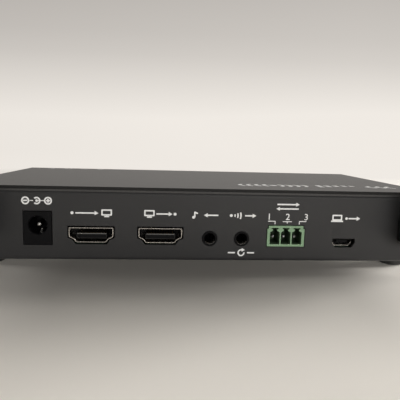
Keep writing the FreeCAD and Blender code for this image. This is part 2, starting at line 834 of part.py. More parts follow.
def status_lamps():
    """Lamps on the board's front edge, and flat light pipes from them through the front wall."""
    wide, high = cell.lamp_width, cell.lamp_height
    bodies, pipes = [], []
    pipe_start = board_rear + board_length
    pipe_end = front + cell.proud
    for x in lamp_places:
        bodies.append(block(wide, wide, cell.lamp_level + high / 2, x, pipe_start - wide / 2, board_top))
        middle = (pipe_start + pipe_end) / 2
        pipes.append(block(wide, pipe_end - pipe_start, high, x, middle, lamp_axis - high / 2))
    subpart(group(bodies), "status_lamps")
    subpart(group(pipes), "light_pipes")


def chip_and_cooler():
    x, y = 0, rear + chip_from_wall
    subpart(block(cell.chip_side, cell.chip_side, cell.chip_height, x, y, board_top), "video_chip")
    pad_bottom = board_top + cell.chip_height
    subpart(block(cell.chip_side, cell.chip_side, cell.pad_height, x, y, pad_bottom), "thermal_pad")
    bench = Bench("chip_cooler")
    half, low = cell.cooler_side / 2, pad_bottom + cell.pad_height
    base, high = low + cell.cooler_base, low + cell.cooler_height
    fins, thick = count(cell.fin_count), cell.fin_thickness
    step = (cell.cooler_side - thick) / (cell.fin_count - 1)
    profile = [(x + half, low), (x + half, high)]
    for i in range(fins):
        left = x + half - step * i - thick
        profile.append((left, high))
        if i < fins - 1:
            profile += [(left, base), (left - step + thick, base), (left - step + thick, high)]
    profile.append((x - half, low))
    bench.pad(bench.sketch("XZ_Plane", y - half, [profile]), cell.cooler_side, reverse=True)


def chips(label, width, length, height, places):
    """Small packages of one kind, each standing on the board at a distance from the socket wall."""
    stand = [block(width, length, height, x, rear + from_wall, board_top) for x, from_wall in places]
    subpart(group(stand), label)


def board_parts():
    """Memory, supply, sound and serial parts, placed on the free areas of the board."""
    low = cell.small_chip_height
    memory_x = (cell.chip_side + cell.memory_width) / 2 + cell.memory_gap
    memory = [(side * memory_x, chip_from_wall + end * cell.memory_spread)
              for side in (-1, 1) for end in (-1, 1)]
    chips("memory_chips", cell.memory_width, cell.memory_length, low, memory)
    supply = [cell.power_place + cell.supply_pitch * i for i in (-1, 0, 1)]
    inductors = [(x, chip_from_wall) for x in supply]
    chips("power_inductors", cell.inductor_side, cell.inductor_side, cell.inductor_height, inductors)
    regulators = [(x, chip_from_wall + cell.supply_pitch) for x in supply]
    chips("regulators", cell.regulator_width, cell.regulator_length, cell.regulator_height, regulators)
    crystal = [(cell.crystal_place, cell.crystal_from_wall)]
    chips("timing_crystal", cell.crystal_width, cell.crystal_length, low, crystal)
    sound = [(cell.sound_chip_place, cell.sound_chip_from_wall)]
    chips("sound_chip", cell.sound_chip_side, cell.sound_chip_side, low, sound)
    serial = [(cell.terminal_place, cell.serial_chip_from_wall)]
    chips("serial_chip", cell.serial_chip_width, cell.serial_chip_length, cell.serial_chip_height, serial)
    hub = [(cell.data_place, cell.hub_chip_from_wall)]
    chips("data_hub_chip", cell.hub_chip_side, cell.hub_chip_side, low, hub)
    capacitors = [(x, cell.capacitor_from_wall) for x in supply]
    chips("filter_capacitors", cell.capacitor_width, cell.capacitor_length, cell.capacitor_height, capacitors)


def radio_card():
    """Plug-in radio card that stands on a socket and two spacers, under a shielding can."""
    x, y = cell.card_place, card_middle
    wide, long = cell.card_width, cell.card_length
    card_bottom = board_top + cell.card_lift
    card_top = card_bottom + cell.card_thickness
    subpart(block(wide, long, cell.card_thickness, x, y, card_bottom), "radio_card")
    inset = cell.card_spacer_radius * 1.25
    socket_y = y - long / 2 + inset + cell.card_socket_length / 2
    subpart(block(cell.card_socket_width, cell.card_socket_length, cell.card_lift, x, socket_y, board_top),
            "radio_card_socket")
    spacer_y = y + long / 2 - inset
    spacers = []
    for side in (-1, 1):
        spacer_x = x + side * (wide / 2 - inset)
        spacers.append(hexagon(cell.card_spacer_radius, cell.card_lift, spacer_x, spacer_y, board_top))
    subpart(group(spacers), "radio_card_spacers")
    skin = cell.shield_skin
    can = block(cell.shield_width, cell.shield_length, cell.shield_height, x, y, card_top)
    room = block(cell.shield_width - skin * 2, cell.shield_length - skin * 2, cell.shield_height - skin,
                 x, y, card_top)
    subpart(cut(can, room), "radio_shield")
    return card_top


# Antennas


def antenna(label, side):
    """A swivelling foot with a two-eared fork, and a rod that folds on a pin between the ears."""
    x = side * antenna_place
    start = rear - cell.swivel_gap
    half, ear, inner = cell.swivel_half_width, cell.ear_radius, cell.tongue_width / 2 + cell.tongue_gap

    foot = overlap(bar(cell.swivel_radius, cell.swivel_thickness, x, start, antenna_axis, "-y"),
                   block(half * 2, cell.swivel_thickness, cell.swivel_radius * 2, x,
                         start - cell.swivel_thickness / 2, antenna_axis - cell.swivel_radius))
    shank = start - cell.swivel_thickness - pivot_y
    fork = group([block(half * 2, shank, ear * 2, x, pivot_y + shank / 2, antenna_axis - ear),
                  bar(ear, half * 2, x - half, pivot_y, antenna_axis, "x")])
    slot_depth = shank + ear
    slot = block(inner * 2, slot_depth, ear * 2, x, pivot_y - ear + slot_depth / 2, antenna_axis - ear)
    neck_inside = inside_rear + cell.swivel_gap + cell.neck_nut_thickness + cell.neck_end
    neck = bar(cell.neck_radius, neck_inside - start, x, start, antenna_axis, "y")
    lead_hole = bar(cell.lead_bore_radius, neck_inside - pivot_y, x, pivot_y, antenna_axis, "y")
    pin_hole = bar(cell.hinge_pin_radius + cell.pin_fit, half * 2, x - half, pivot_y, antenna_axis, "x")
    subpart(cut(group([foot, fork, neck]), slot, lead_hole, pin_hole), f"{label}_antenna_swivel")

    nut_y = inside_rear + cell.swivel_gap
    nut = cut(hexagon(cell.neck_nut_radius, cell.neck_nut_thickness, x, nut_y, antenna_axis, "y"),
              bar(cell.neck_radius + cell.pin_fit, cell.neck_nut_thickness, x, nut_y, antenna_axis, "y"))
    subpart(nut, f"{label}_antenna_nut")
    subpart(bar(cell.hinge_pin_radius, half * 2, x - half, pivot_y, antenna_axis, "x"), f"{label}_hinge_pin")

    bench = Bench(f"{label}_antenna_rod")
    low, tip = cell.rod_start, cell.rod_length - cell.cap_height
    grip, radius, thin, bore = cell.rod_grip, cell.rod_radius, cell.rod_tip_radius, cell.rod_bore_radius
    core = low + cell.tongue_radius
    profile = [(bore, core), (bore, tip), (thin, tip), (thin, grip), (radius, grip), (radius, low)]
    profile += [(0, low), (0, core)]
    profile = [(across, antenna_axis + level) for across, level in profile]
    bench.turned(bench.sketch("XZ_Plane", 0, [profile]), "V_Axis")
    tongue = cell.tongue_radius
    blade = rectangle(0, antenna_axis, tongue * 2, core)
    bench.pad(bench.sketch("YZ_Plane", -cell.tongue_width / 2, [blade]), cell.tongue_width)
    bench.pad(bench.sketch("YZ_Plane", -cell.tongue_width / 2, circles=[(0, antenna_axis, tongue)]),
              cell.tongue_width)
    pin_room = cell.hinge_pin_radius + cell.hinge_gap
    bench.pocket(bench.sketch("YZ_Plane", cell.tongue_width / 2, circles=[(0, antenna_axis, pin_room)]),
                 cell.tongue_width)
    placed(bench.body, x, pivot_y, 0)

    subpart(bar(thin, cell.cap_height, x, pivot_y, antenna_axis + tip), f"{label}_antenna_cap")
    element = block(cell.element_width, cell.element_thickness, tip - core, x, pivot_y, antenna_axis + core)
    subpart(element, f"{label}_antenna_element")
    return neck_inside


def aerial_lead(label, side, neck_inside, card_top):
    """The thin lead from an antenna's neck to its plug on the radio card, as one tube with rounded turns."""
    plug_x = cell.card_place + side * (cell.card_width / 2 - cell.plug_radius * 1.5)
    plug_y = card_middle
    subpart(bar(cell.plug_radius, cell.plug_height, plug_x, plug_y, card_top), f"{label}_lead_plug")
    start_x, plug_edge = side * antenna_place, plug_x + side * cell.plug_radius
    route = [
        (start_x, neck_inside - cell.neck_end, antenna_axis),
        (start_x, neck_inside + cell.lead_first_run, antenna_axis),
        (start_x - side * cell.lead_first_run, plug_y, card_top + cell.plug_height / 2),
        (plug_edge, plug_y, card_top + cell.plug_height / 2),
    ]
    points = [FreeCAD.Vector(*(number_of(value) for value in point)) for point in route]
    path, radii = rounded_path(points)
    section = Part.makePolygon([
        points[0] + FreeCAD.Vector(math.cos(turn), 0, math.sin(turn)) * cell.lead_radius.number
        for turn in (math.pi / 3 * i for i in range(7))
    ])
    tube = path.makePipeShell([section], True, True)
    piece = doc.addObject("Part::Feature", f"{label}_aerial_lead")
    piece.Shape = tube
    subpart(piece, f"{label}_aerial_lead")
    expected = Part.Face(section).Area * path.Length
    print(f"{label} lead: {path.Length:.1f} long, turns {[round(r, 1) for r in radii]},",
          f"volume over section times length {tube.Volume / expected:.4f}")


def rounded_path(points):
    """Straight runs joined by tangent arcs, each as large as its two runs allow."""
    edges, radii, last = [], [], points[0]
    for before, corner, after in zip(points, points[1:], points[2:]):
        back, ahead = before - corner, after - corner
        shorter = min(back.Length, ahead.Length)
        turn = math.pi - back.getAngle(ahead)
        trim = 0.45 * shorter
        radii.append(trim / math.tan(turn / 2))
        back.normalize()
        ahead.normalize()
        middle = back + ahead
        middle.normalize()
        centre = corner + middle * (radii[-1] / math.cos(turn / 2))
        inner = centre - middle * radii[-1]
        enter, leave = corner + back * trim, corner + ahead * trim
        edges += [Part.LineSegment(last, enter).toShape(), Part.Arc(enter, inner, leave).toShape()]
        last = leave
    edges.append(Part.LineSegment(last, points[-1]).toShape())
    return Part.Wire(edges), radii


base_tray()
top_cover()
cover_screws()
rubber_feet()
board_pillars()
board_screws()
main_board()
power_socket()
video_socket("video_out", cell.video_out_place)
video_socket("video_in", cell.video_in_place)
round_socket("sound_socket", cell.sound_place)
round_socket("infrared_socket", cell.infrared_place)
terminal_socket()
data_socket()
status_lamps()
chip_and_cooler()
board_parts()
radio_top = radio_card()
for label, side in (("left", -1), ("right", 1)):
    neck_inside = antenna(label, side)
    aerial_lead(label, side, neck_inside, radio_top)
doc.recompute()

for thing in doc.Objects:
    if {"Invalid", "Error"} & set(thing.State):
        raise RuntimeError(f"{thing.Label} failed: {thing.State}")
for piece in SUBPARTS:
    if piece.Shape.isNull() or not piece.Shape.isValid() or not piece.Shape.Solids:
        raise RuntimeError(f"{piece.Label} has no good shape")

os.makedirs("parts", exist_ok=True)
for piece in SUBPARTS:
    piece.Shape.exportStep(f"parts/{piece.Label}.step")
print(len(SUBPARTS), "pieces written")
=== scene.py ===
# %% [markdown]
# # A wireless video extender
# The object is a flat box of bent sheet steel, with every socket in one wall and a folding antenna at each
# end of it. The frame holds the pieces that carry, fit and move. This notebook gives each its finish, and
# models what is too fine for the frame: rolled edges, grips, screw heads, rubber feet and printed marks. No
# mesh of the frame is changed: finer pieces take the place of some.
# %% Load the frame
import itertools
import json
import math

import bmesh
import bpy
from mathutils import Matrix, Vector


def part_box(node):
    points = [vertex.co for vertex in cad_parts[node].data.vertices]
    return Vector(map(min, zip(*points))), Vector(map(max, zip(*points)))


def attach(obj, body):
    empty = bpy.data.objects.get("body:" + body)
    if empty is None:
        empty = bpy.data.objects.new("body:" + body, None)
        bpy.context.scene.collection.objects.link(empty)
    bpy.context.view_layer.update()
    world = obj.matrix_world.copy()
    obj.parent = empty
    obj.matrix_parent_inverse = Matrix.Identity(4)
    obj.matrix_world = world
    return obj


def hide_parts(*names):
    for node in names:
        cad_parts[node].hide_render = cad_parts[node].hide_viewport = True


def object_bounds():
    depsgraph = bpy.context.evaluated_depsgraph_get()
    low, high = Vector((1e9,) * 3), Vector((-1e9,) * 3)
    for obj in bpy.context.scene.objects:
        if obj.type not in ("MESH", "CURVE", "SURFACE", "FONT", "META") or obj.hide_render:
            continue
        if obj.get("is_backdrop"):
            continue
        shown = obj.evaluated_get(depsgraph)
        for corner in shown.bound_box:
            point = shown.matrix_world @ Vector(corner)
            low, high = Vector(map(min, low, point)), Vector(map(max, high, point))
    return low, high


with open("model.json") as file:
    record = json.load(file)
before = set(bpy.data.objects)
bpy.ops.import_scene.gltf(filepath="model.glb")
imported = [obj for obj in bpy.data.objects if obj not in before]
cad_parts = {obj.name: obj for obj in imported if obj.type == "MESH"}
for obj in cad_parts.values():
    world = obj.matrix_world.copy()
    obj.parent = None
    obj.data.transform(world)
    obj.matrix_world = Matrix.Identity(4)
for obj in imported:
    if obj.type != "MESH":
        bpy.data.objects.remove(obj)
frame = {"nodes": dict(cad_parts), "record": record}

cad_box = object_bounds()
MM = 0.001


def in_mm(node):
    """The lowest and highest corner of a node of the frame, and its middle, in millimetres."""
    low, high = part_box(node)
    return low / MM, high / MM, (low + high) / 2 / MM


print("nodes in the frame:", len(frame["nodes"]))
# %% [markdown]
# ## The camera
# The photograph looks at the socket wall from a little above, from in front of the input video socket. A
# constraint could aim a camera, but would lose its roll, so its turn is built from three plain angles. The
# focal length, counted in pixels of the 400 pixel frame, becomes a lens in millimetres.
# %% Place the camera
FRAME_PIXELS, FOCAL_PIXELS, SENSOR = 400, 431.7, 36.0
EYE = Vector((-12.17, -176.465, 44.81)) * MM
YAW, PITCH, ROLL = 0.077, 0.136, 0.027


def placed(name, data):
    """Makes an object of a camera, lamp or mesh and puts it in the scene."""
    made = bpy.data.objects.new(name, data)
    bpy.context.collection.objects.link(made)
    return made


lens = bpy.data.cameras.new("camera")
lens.sensor_width = SENSOR
lens.lens = FOCAL_PIXELS / FRAME_PIXELS * SENSOR
lens.clip_start = 0.005
lens.clip_end = 20.0
camera = placed("camera", lens)
turn = Matrix.Rotation(-YAW, 4, "Z") @ Matrix.Rotation(math.pi / 2 - PITCH, 4, "X")
camera.matrix_world = Matrix.Translation(EYE) @ turn @ Matrix.Rotation(ROLL, 4, "Z")
bpy.context.scene.camera = camera
print("lens in mm:", round(lens.lens, 2))
# %% [markdown]
# ## Shader maths
# A finish is a little sum: a noise times a strength, a mask taken from one. Wiring every Math node by hand
# hides that sum, so one small class wraps a node's output and lets Python's own signs add the Math nodes.
# Every other node comes from its one method: settings first, then socket values.
# %% The link class and a new material
class Link:
    """The output of one shader node, ready for sums with numbers or other links."""

    def __init__(self, tree, socket=None):
        self.tree, self.socket = tree, socket

    def node(self, kind, settings=(), inputs=(), output=0):
        made = self.tree.nodes.new("ShaderNode" + kind)
        for name, value in dict(settings).items():
            if name == "stops":
                self.set_stops(made.color_ramp.elements, value)
            else:
                setattr(made, name, value)
        for name, value in dict(inputs).items():
            if isinstance(value, Link):
                self.tree.links.new(value.socket, made.inputs[name])
            else:
                made.inputs[name].default_value = value
        return Link(self.tree, made.outputs[output])

    def set_stops(self, elements, stops):
        """Gives a ramp its grey stops, as pairs of a position and a value."""
        for index, (position, value) in enumerate(stops):
            stop = elements[index] if index < len(elements) else elements.new(position)
            stop.position, stop.color = position, (value, value, value, 1.0)

    def sum(self, operation, first, second):
        return self.node("Math", {"operation": operation}, {0: first, 1: second})

    def __add__(self, other):
        return self.sum("ADD", self, other)

    __radd__ = __add__

    def __mul__(self, other):
        return self.sum("MULTIPLY", self, other)

    __rmul__ = __mul__

    def __sub__(self, other):
        return self.sum("SUBTRACT", self, other)

    def __rsub__(self, other):
        return self.sum("SUBTRACT", other, self)


finishes = {}


def start_finish(name, **constants):
    """Makes a material and gives back its shader and the object coordinates."""
    material = bpy.data.materials.new(name)
    material.use_nodes = True
    tree = material.node_tree
    shader = tree.nodes["Principled BSDF"]
    for socket, value in constants.items():
        shader.inputs[socket.replace("_", " ")].default_value = value
    finishes[name] = material
    print("finish:", name)
    return shader, Link(tree).node("TexCoord", output="Object")


def plug(shader, **links):
    """Feeds links into the shader's sockets, such as Base_Color or Roughness."""
    for socket, link in links.items():
        link.tree.links.new(link.socket, shader.inputs[socket.replace("_", " ")])
# %% [markdown]
# ## Shared patterns
# Grain, cloudy patches and brushed lines are all noise, given here by the real size of one grain in
# millimetres. Real edges are never razor sharp, and a rounded normal near each edge catches the light as a
# real break does, so one helper joins that rounding to the grain's height.
# %% Grain, tone and edges
def grain(place, size, detail=2.0, stretch=(1.0, 1.0, 1.0)):
    """Noise from 0 to 1 whose grains are about size millimetres across."""
    scaled = place.node("Mapping", {}, {"Vector": place, "Scale": stretch})
    return place.node("TexNoise", {}, {"Vector": scaled, "Scale": 1 / (size * MM), "Detail": detail})


def tone(mask, dark, light):
    """A colour between two colours or links, picked by a mask from 0 to 1."""
    dark, light = (end if isinstance(end, Link) else (*end, 1.0) for end in (dark, light))
    return mask.node("Mix", {"data_type": "RGBA"}, {0: mask, 6: dark, 7: light}, 2)


def along(place, axes):
    """The coordinates of a place along the axes, such as "XY"."""
    return [place.node("SeparateXYZ", {}, {"Vector": place}, axis) for axis in axes]


def rise(value, start, end, low=0.0, high=1.0, kind="LINEAR"):
    """Goes from low to high while a value goes from start to end, and is level beyond."""
    span = {"Value": value, "From Min": start, "From Max": end, "To Min": low, "To Max": high}
    return value.node("MapRange", {"interpolation_type": kind}, span)


def painted_shade_ramp(place, colour, axis, start, end, deep):
    """Painted shade: a colour that darkens into a deep one between two places on an axis, in millimetres.
    """
    return tone(rise(*along(place, axis), start * MM, end * MM), colour, deep)


def relief(height, depth, edge=0.15):
    """The normal of a surface with bumps depth millimetres deep and edges broken by edge millimetres."""
    rounded = height.node("Bevel", {"samples": 4}, {"Radius": edge * MM})
    inputs = {"Height": height, "Distance": depth * MM, "Strength": 1.0, "Normal": rounded}
    return height.node("Bump", {}, inputs)


def spread(mask, low, high):
    """A mask from 0 to 1 turned into a value from low to high."""
    return mask * (high - low) + low


print("helpers ready")
# %% [markdown]
# ## The case coating
# The case wears a baked powder coat: dark grey, fine-grained and satin, so the lid shows a soft sheen when
# seen almost edge on. The grain is a bump a hundredth of a millimetre deep, broad patches shift the tone,
# and a thin scatter of dust dulls it. The cut front and back edges of the lid are rougher, and their colour
# is painted shade, as dark as the seam below them: a mask of height and depth finds them.
# %% A finish that follows one grain
def plain(name, size, detail, dark, light, gloss, bump=(), **constants):
    """A finish whose tone, gloss and height all follow one grain."""
    shader, place = start_finish(name, **constants)
    skin = grain(place, size, detail)
    plug(shader, Base_Color=tone(skin, dark, light), Roughness=spread(skin, *gloss))
    if bump:
        plug(shader, Normal=relief(skin, *bump))


# The hems' coat is paler than the case's: a painted highlight on the walls' top edges.
plain("hem_painted_highlight", 0.35, 3.0, (0.026, 0.0255, 0.025), (0.048, 0.047, 0.046), (0.30, 0.42), (0.012, 0.05),
      Specular_IOR_Level=0.5)
# %% Coat the case
shader, place = start_finish("case_coating", Specular_IOR_Level=0.5)
fine = grain(place, 0.35, 3.0)
patches = grain(place, 22.0, 3.0)
specks = grain(place, 1.1, 1.0)
dust = place.node("ValToRGB", {"stops": [(0.70, 0.0), (0.82, 1.0)]}, {"Fac": specks})
mask = spread(fine, 0.15, 0.55) + patches * 0.45
cover_low, cover_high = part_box("top_cover")
middle_y, half_depth = (cover_low.y + cover_high.y) / 2, (cover_high.y - cover_low.y) / 2
EDGE_BAND, LID_SHEET = 0.05 * MM, 1.05 * MM
depth, height = along(place, "YZ")
from_middle = place.node("Math", {"operation": "ABSOLUTE"}, {0: depth - middle_y})
rim = place.sum("GREATER_THAN", from_middle, half_depth - EDGE_BAND)
# The lid's front and back cut edges: their dark colour is painted shade of the seam.
cut = rim * place.sum("GREATER_THAN", height, cover_high.z - LID_SHEET)
coat = tone(mask, (0.013, 0.0130, 0.0135), (0.026, 0.0257, 0.0263))
plug(
    shader,
    # Painted shade, near black, on the lid's cut edges.
    Base_Color=tone(cut, coat, (0.008, 0.008, 0.008)),
    Roughness=spread(fine, 0.34, 0.46) + dust * 0.08 + cut * 0.25,
    Normal=relief(fine, 0.012, 0.35),
)
# %% [markdown]
# ## Moulded plastics
# Sockets, chips and antennas are black plastics that differ in gloss and grain: an antenna's spark-eroded
# skin is duller than a socket's face. Only the numbers differ, so one short function makes each. The green
# terminal's colour darkens with depth as painted shade, because little light reaches into its narrow cells.
# %% Mould the plastics
def moulded(name, dark, light, gloss, grain_size, depth, edge=0.12, shine=0.5, painted_shade=()):
    """A plastic whose tone and gloss drift a little, with a moulded grain."""
    shader, place = start_finish(name, Specular_IOR_Level=shine)
    skin = grain(place, grain_size, 3.0)
    flow = grain(place, grain_size * 14, 2.0)
    mask = skin * 0.5 + flow * 0.5
    colour = tone(mask, dark, light)
    if painted_shade:
        colour = painted_shade_ramp(place, colour, *painted_shade)
    plug(shader, Base_Color=colour, Roughness=spread(skin, *gloss), Normal=relief(skin, depth, edge))


terminal_front = in_mm("terminal_housing")[0].y
# The colour of painted shade deep in the terminal's cells.
CELL_PAINTED_SHADE = (0.034, 0.056, 0.032)
moulded("black_plastic", (0.0022, 0.0022, 0.0026), (0.0050, 0.0050, 0.0056), (0.34, 0.48), 0.25, 0.003,
        shine=0.14)
moulded("antenna_plastic", (0.006, 0.006, 0.0064), (0.012, 0.012, 0.0125), (0.42, 0.58), 0.30, 0.010,
        edge=0.25, shine=0.35)
moulded("chip_black", (0.018, 0.018, 0.019), (0.034, 0.034, 0.036), (0.50, 0.66), 0.12, 0.004)
# Deep in its cells the green darkens: painted shade.
moulded("green_plastic", (0.155, 0.255, 0.148), (0.225, 0.335, 0.212), (0.34, 0.46), 0.60, 0.004, 0.10,
        painted_shade=("Y", terminal_front + 0.3, terminal_front + 3.2, CELL_PAINTED_SHADE))
moulded("tongue_plastic", (0.008, 0.008, 0.008), (0.014, 0.013, 0.012), (0.34, 0.46), 0.1, 0.002, 0.08)
# A pale plastic for the painted highlight on the video tongues' top edges.
moulded("painted_highlight_plastic", (0.07, 0.07, 0.068), (0.17, 0.165, 0.16), (0.26, 0.38), 0.3, 0.002, 0.08)
moulded("pad_grey", (0.20, 0.21, 0.22), (0.30, 0.31, 0.32), (0.75, 0.9), 0.20, 0.010)
moulded("lead_jacket", (0.012, 0.012, 0.013), (0.024, 0.024, 0.026), (0.40, 0.55), 0.25, 0.004)
moulded("foot_rubber", (0.014, 0.0135, 0.013), (0.032, 0.031, 0.030), (0.60, 0.78), 0.40, 0.012, 0.3)
# %% [markdown]
# ## Metals
# The shells are nickel on steel, pins are tinned, contacts carry a flash of gold and the cooler is bare
# aluminium. A metal shows its making: drawn lines along one direction and a cloudy gloss. Noise stretched
# along one axis gives the lines, in the roughness and as very light scratches. The gold is kept dark as
# painted shade, for contacts deep in the sockets. The small data shell is dark on its roof and bright on
# its floor in the photograph, and so is its finish: its roof is painted shade.
# %% Plate the metals
SCRATCH, METAL_EDGE = 0.003, 0.08


def plated(name, dark, light, gloss, stretch=(1.0, 1.0, 1.0), painted_shade=()):
    """A metal with lines drawn along the axis where stretch is small."""
    shader, place = start_finish(name, Metallic=1.0)
    lines = grain(place, 0.22, 3.0, stretch)
    clouds = grain(place, 3.0, 2.0)
    colour = tone(lines * 0.5 + clouds * 0.5, dark, light)
    if painted_shade:
        colour = painted_shade_ramp(place, colour, *painted_shade)
    rough = spread(lines, *gloss) + clouds * 0.08
    plug(shader, Base_Color=colour, Roughness=rough, Normal=relief(lines, SCRATCH, METAL_EDGE))


roof = in_mm("data_shell")[1].z
# The data shell's roof darkens to near black: painted shade.
roof_painted_shade = ("Z", roof - 1.5, roof - 0.9, (0.02, 0.02, 0.02))
for name, painted_shade in (("socket_metal", ()), ("data_metal", roof_painted_shade)):
    plated(name, (0.66, 0.62, 0.57), (0.88, 0.84, 0.79), (0.16, 0.30), (1.0, 0.08, 1.0), painted_shade=painted_shade)
plated("dark_nickel", (0.46, 0.46, 0.47), (0.66, 0.66, 0.67), (0.20, 0.34))
plated("bright_steel", (0.46, 0.46, 0.47), (0.68, 0.68, 0.69), (0.26, 0.42))
plated("bright_pins", (0.62, 0.62, 0.61), (0.82, 0.82, 0.80), (0.12, 0.24), (1.0, 0.1, 1.0))
# The gold is kept dark: painted shade, for contacts deep in the sockets.
plated("gold_contacts", (0.10, 0.07, 0.03), (0.22, 0.15, 0.07), (0.34, 0.48), (1.0, 0.1, 1.0))
plated("bare_aluminium", (0.52, 0.53, 0.54), (0.74, 0.75, 0.76), (0.30, 0.46), (1.0, 0.06, 1.0))
plated("black_screws", (0.020, 0.020, 0.022), (0.050, 0.050, 0.054), (0.32, 0.50))
# %% [markdown]
# ## The circuit board
# Solder mask is a thin dark green varnish over copper, so tracks show through as lighter, raised lines.
# Real tracks could be modelled, but the case hides all but slivers of the board. A brick pattern gives the
# long parallel runs, and a field of cells the round pads of the through holes.
# %% Print the board
shader, place = start_finish("circuit_board", Specular_IOR_Level=0.5)
black, white = (0.0, 0.0, 0.0, 1.0), (1.0, 1.0, 1.0, 1.0)
bricks = {"Vector": place, "Color1": black, "Color2": black, "Mortar": white, "Scale": 1 / (6.0 * MM)}
bricks.update({"Mortar Size": 0.03, "Brick Width": 1.4, "Row Height": 0.16})
runs = place.node("TexBrick", {"offset": 0.37, "squash": 1.6}, bricks, "Fac")
cells = place.node("TexVoronoi", {}, {"Vector": place, "Scale": 1 / (3.2 * MM)}, "Distance")
pads = place.sum("LESS_THAN", cells, 0.16)
weave = grain(place, 0.5, 2.0)
copper = place.sum("MAXIMUM", runs, pads)
plug(
    shader,
    Base_Color=tone(copper * 0.8 + weave * 0.2, (0.003, 0.010, 0.006), (0.012, 0.040, 0.022)),
    Roughness=spread(weave, 0.24, 0.38),
    Normal=relief(copper, 0.03, 0.1),
)
# %% [markdown]
# ## Clear plastic and print
# The light pipes are clear bars with a faint haze, and their tone and gloss drift. The marks are screen
# printed in an off-white ink that lies thin, so the print is never one even white.
# %% Clear pipes and white ink
plain("clear_plastic", 0.8, 2.0, (0.78, 0.80, 0.80), (0.92, 0.94, 0.94), (0.12, 0.3), (0.004, 0.2),
      Transmission_Weight=0.9, IOR=1.49)
plain("white_ink", 0.16, 2.0, (0.64, 0.64, 0.63), (0.77, 0.77, 0.76), (0.45, 0.60), Specular_IOR_Level=0.4)
# %% [markdown]
# ## Finishes for the frame
# The record says which slot each node takes, so the finishes are handed out from it and no node can be
# forgotten. A node's mesh is left alone: only its material changes.
# %% Hand out the finishes
for entry in frame["record"]["subparts"]:
    mesh = frame["nodes"][entry["node"]].data
    mesh.materials.clear()
    mesh.materials.append(finishes[entry["material_slot"]])
# %% [markdown]
# ## From a bmesh to a piece
# Each new piece is shaped in millimetres and in the frame's own axes, where its neighbours are. At the end
# it is scaled to metres, its faces are turned outwards and it rides on a body. Its object stays at the
# origin, as the frame's nodes do. Faces that meet at more than the crease angle keep a hard edge.
# %% The piece helper
CREASE, WELD = math.radians(35), 0.0005


def smooth(name, shape):
    """Makes an object of a bmesh and shades it smooth."""
    mesh = bpy.data.meshes.new(name)
    shape.to_mesh(mesh)
    shape.free()
    mesh.shade_smooth()
    return placed(name, mesh)


def piece(name, shape, slot, *replaced, body="case", finish=None):
    """Makes a named piece of a finished bmesh, on a body, in a slot's finish."""
    bmesh.ops.remove_doubles(shape, verts=shape.verts, dist=WELD)
    bmesh.ops.recalc_face_normals(shape, faces=shape.faces)
    bmesh.ops.scale(shape, vec=(MM, MM, MM), verts=shape.verts)
    made = smooth(name, shape)
    made.data.set_sharp_from_angle(angle=CREASE)
    made.data.materials.append(finishes[finish or slot])
    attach(made, body)
    if replaced:
        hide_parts(*replaced)
    print(name, "faces:", len(made.data.polygons))
    return made


print("crease in degrees:", round(math.degrees(CREASE)))
# %% [markdown]
# ## Rubber feet
# A stick-on foot is a moulded dome, flat where it is glued and where it stands. A cone already has both
# flats, and a wide bevel of many segments rolls its lower rim into the dome. An inset makes the dimple that
# the mould leaves in the sole.
# %% Mould the feet
FOOT_RADIUS, SOLE_RADIUS, ROLL = 6.35, 5.2, 2.0
DIMPLE_IN, DIMPLE_STEP, NEAR_FLOOR = 0.8, 0.3, 0.05
foot_low, foot_high, _ = in_mm("rubber_feet")
foot_height = foot_high.z - foot_low.z


def rolled(shape, geom, offset, segments, affect="EDGES", clamp=False):
    """Rounds edges or corners."""
    arc_like = {"affect": affect, "profile": 0.5, "material": -1, "clamp_overlap": clamp}
    bmesh.ops.bevel(shape, geom=list(geom), offset=offset, segments=segments, **arc_like)


shape = bmesh.new()
for x in (foot_low.x + FOOT_RADIUS, foot_high.x - FOOT_RADIUS):
    for y in (foot_low.y + FOOT_RADIUS, foot_high.y - FOOT_RADIUS):
        middle = Matrix.Translation((x, y, foot_height / 2))
        size = {"radius1": SOLE_RADIUS, "radius2": FOOT_RADIUS, "depth": foot_height, "segments": 64}
        foot = bmesh.ops.create_cone(shape, cap_ends=True, matrix=middle, **size)["verts"]
        rim = {e for v in foot for e in v.link_edges if all(w.co.z < NEAR_FLOOR for w in e.verts)}
        rolled(shape, rim, ROLL, 8, clamp=True)
soles = [f for f in shape.faces if f.normal.z < -0.99 and f.calc_center_median().z < NEAR_FLOOR]
bmesh.ops.inset_individual(shape, faces=soles, thickness=DIMPLE_IN, depth=0.0)
bmesh.ops.inset_individual(shape, faces=soles, thickness=DIMPLE_STEP, depth=-DIMPLE_STEP)
for vert in shape.verts:
    vert.co.z = max(vert.co.z, 0.0)
piece("feet", shape, "foot_rubber", "rubber_feet")
# %% [markdown]
# ## Antenna rods
# The rod's lower end is a flat tongue between the swivel's ears. Then come a fat grip with shallow rings
# and a slim sleeve with a rounded cap. Everything above the tongue is round, so one profile spun about the
# rod's axis makes it. The tongue is a block with a rounded foot, cut to the frame's own thickness.
# %% Round and square shapes
def turned(shape, profile, centre, axis=(0, 0, 1), steps=64):
    """Spins a profile of (radius, height) points about an upright axis, or one along Y."""
    centre, axis = Vector(centre), Vector(axis)
    out = Vector((1, 0, 0))
    points = [shape.verts.new(centre + out * r + axis * h) for r, h in profile]
    edges = [shape.edges.new(pair) for pair in zip(points, points[1:])]
    spin = {"cent": centre, "axis": axis, "angle": math.tau, "steps": steps, "use_merge": True}
    bmesh.ops.spin(shape, geom=points + edges, **spin)


def arc(centre, radius, start, end, count):
    """Points of an arc in (radius, height), from start to end in degrees."""
    angles = [math.radians(start + (end - start) * i / count) for i in range(count + 1)]
    return [(centre[0] + radius * math.cos(a), centre[1] + radius * math.sin(a)) for a in angles]


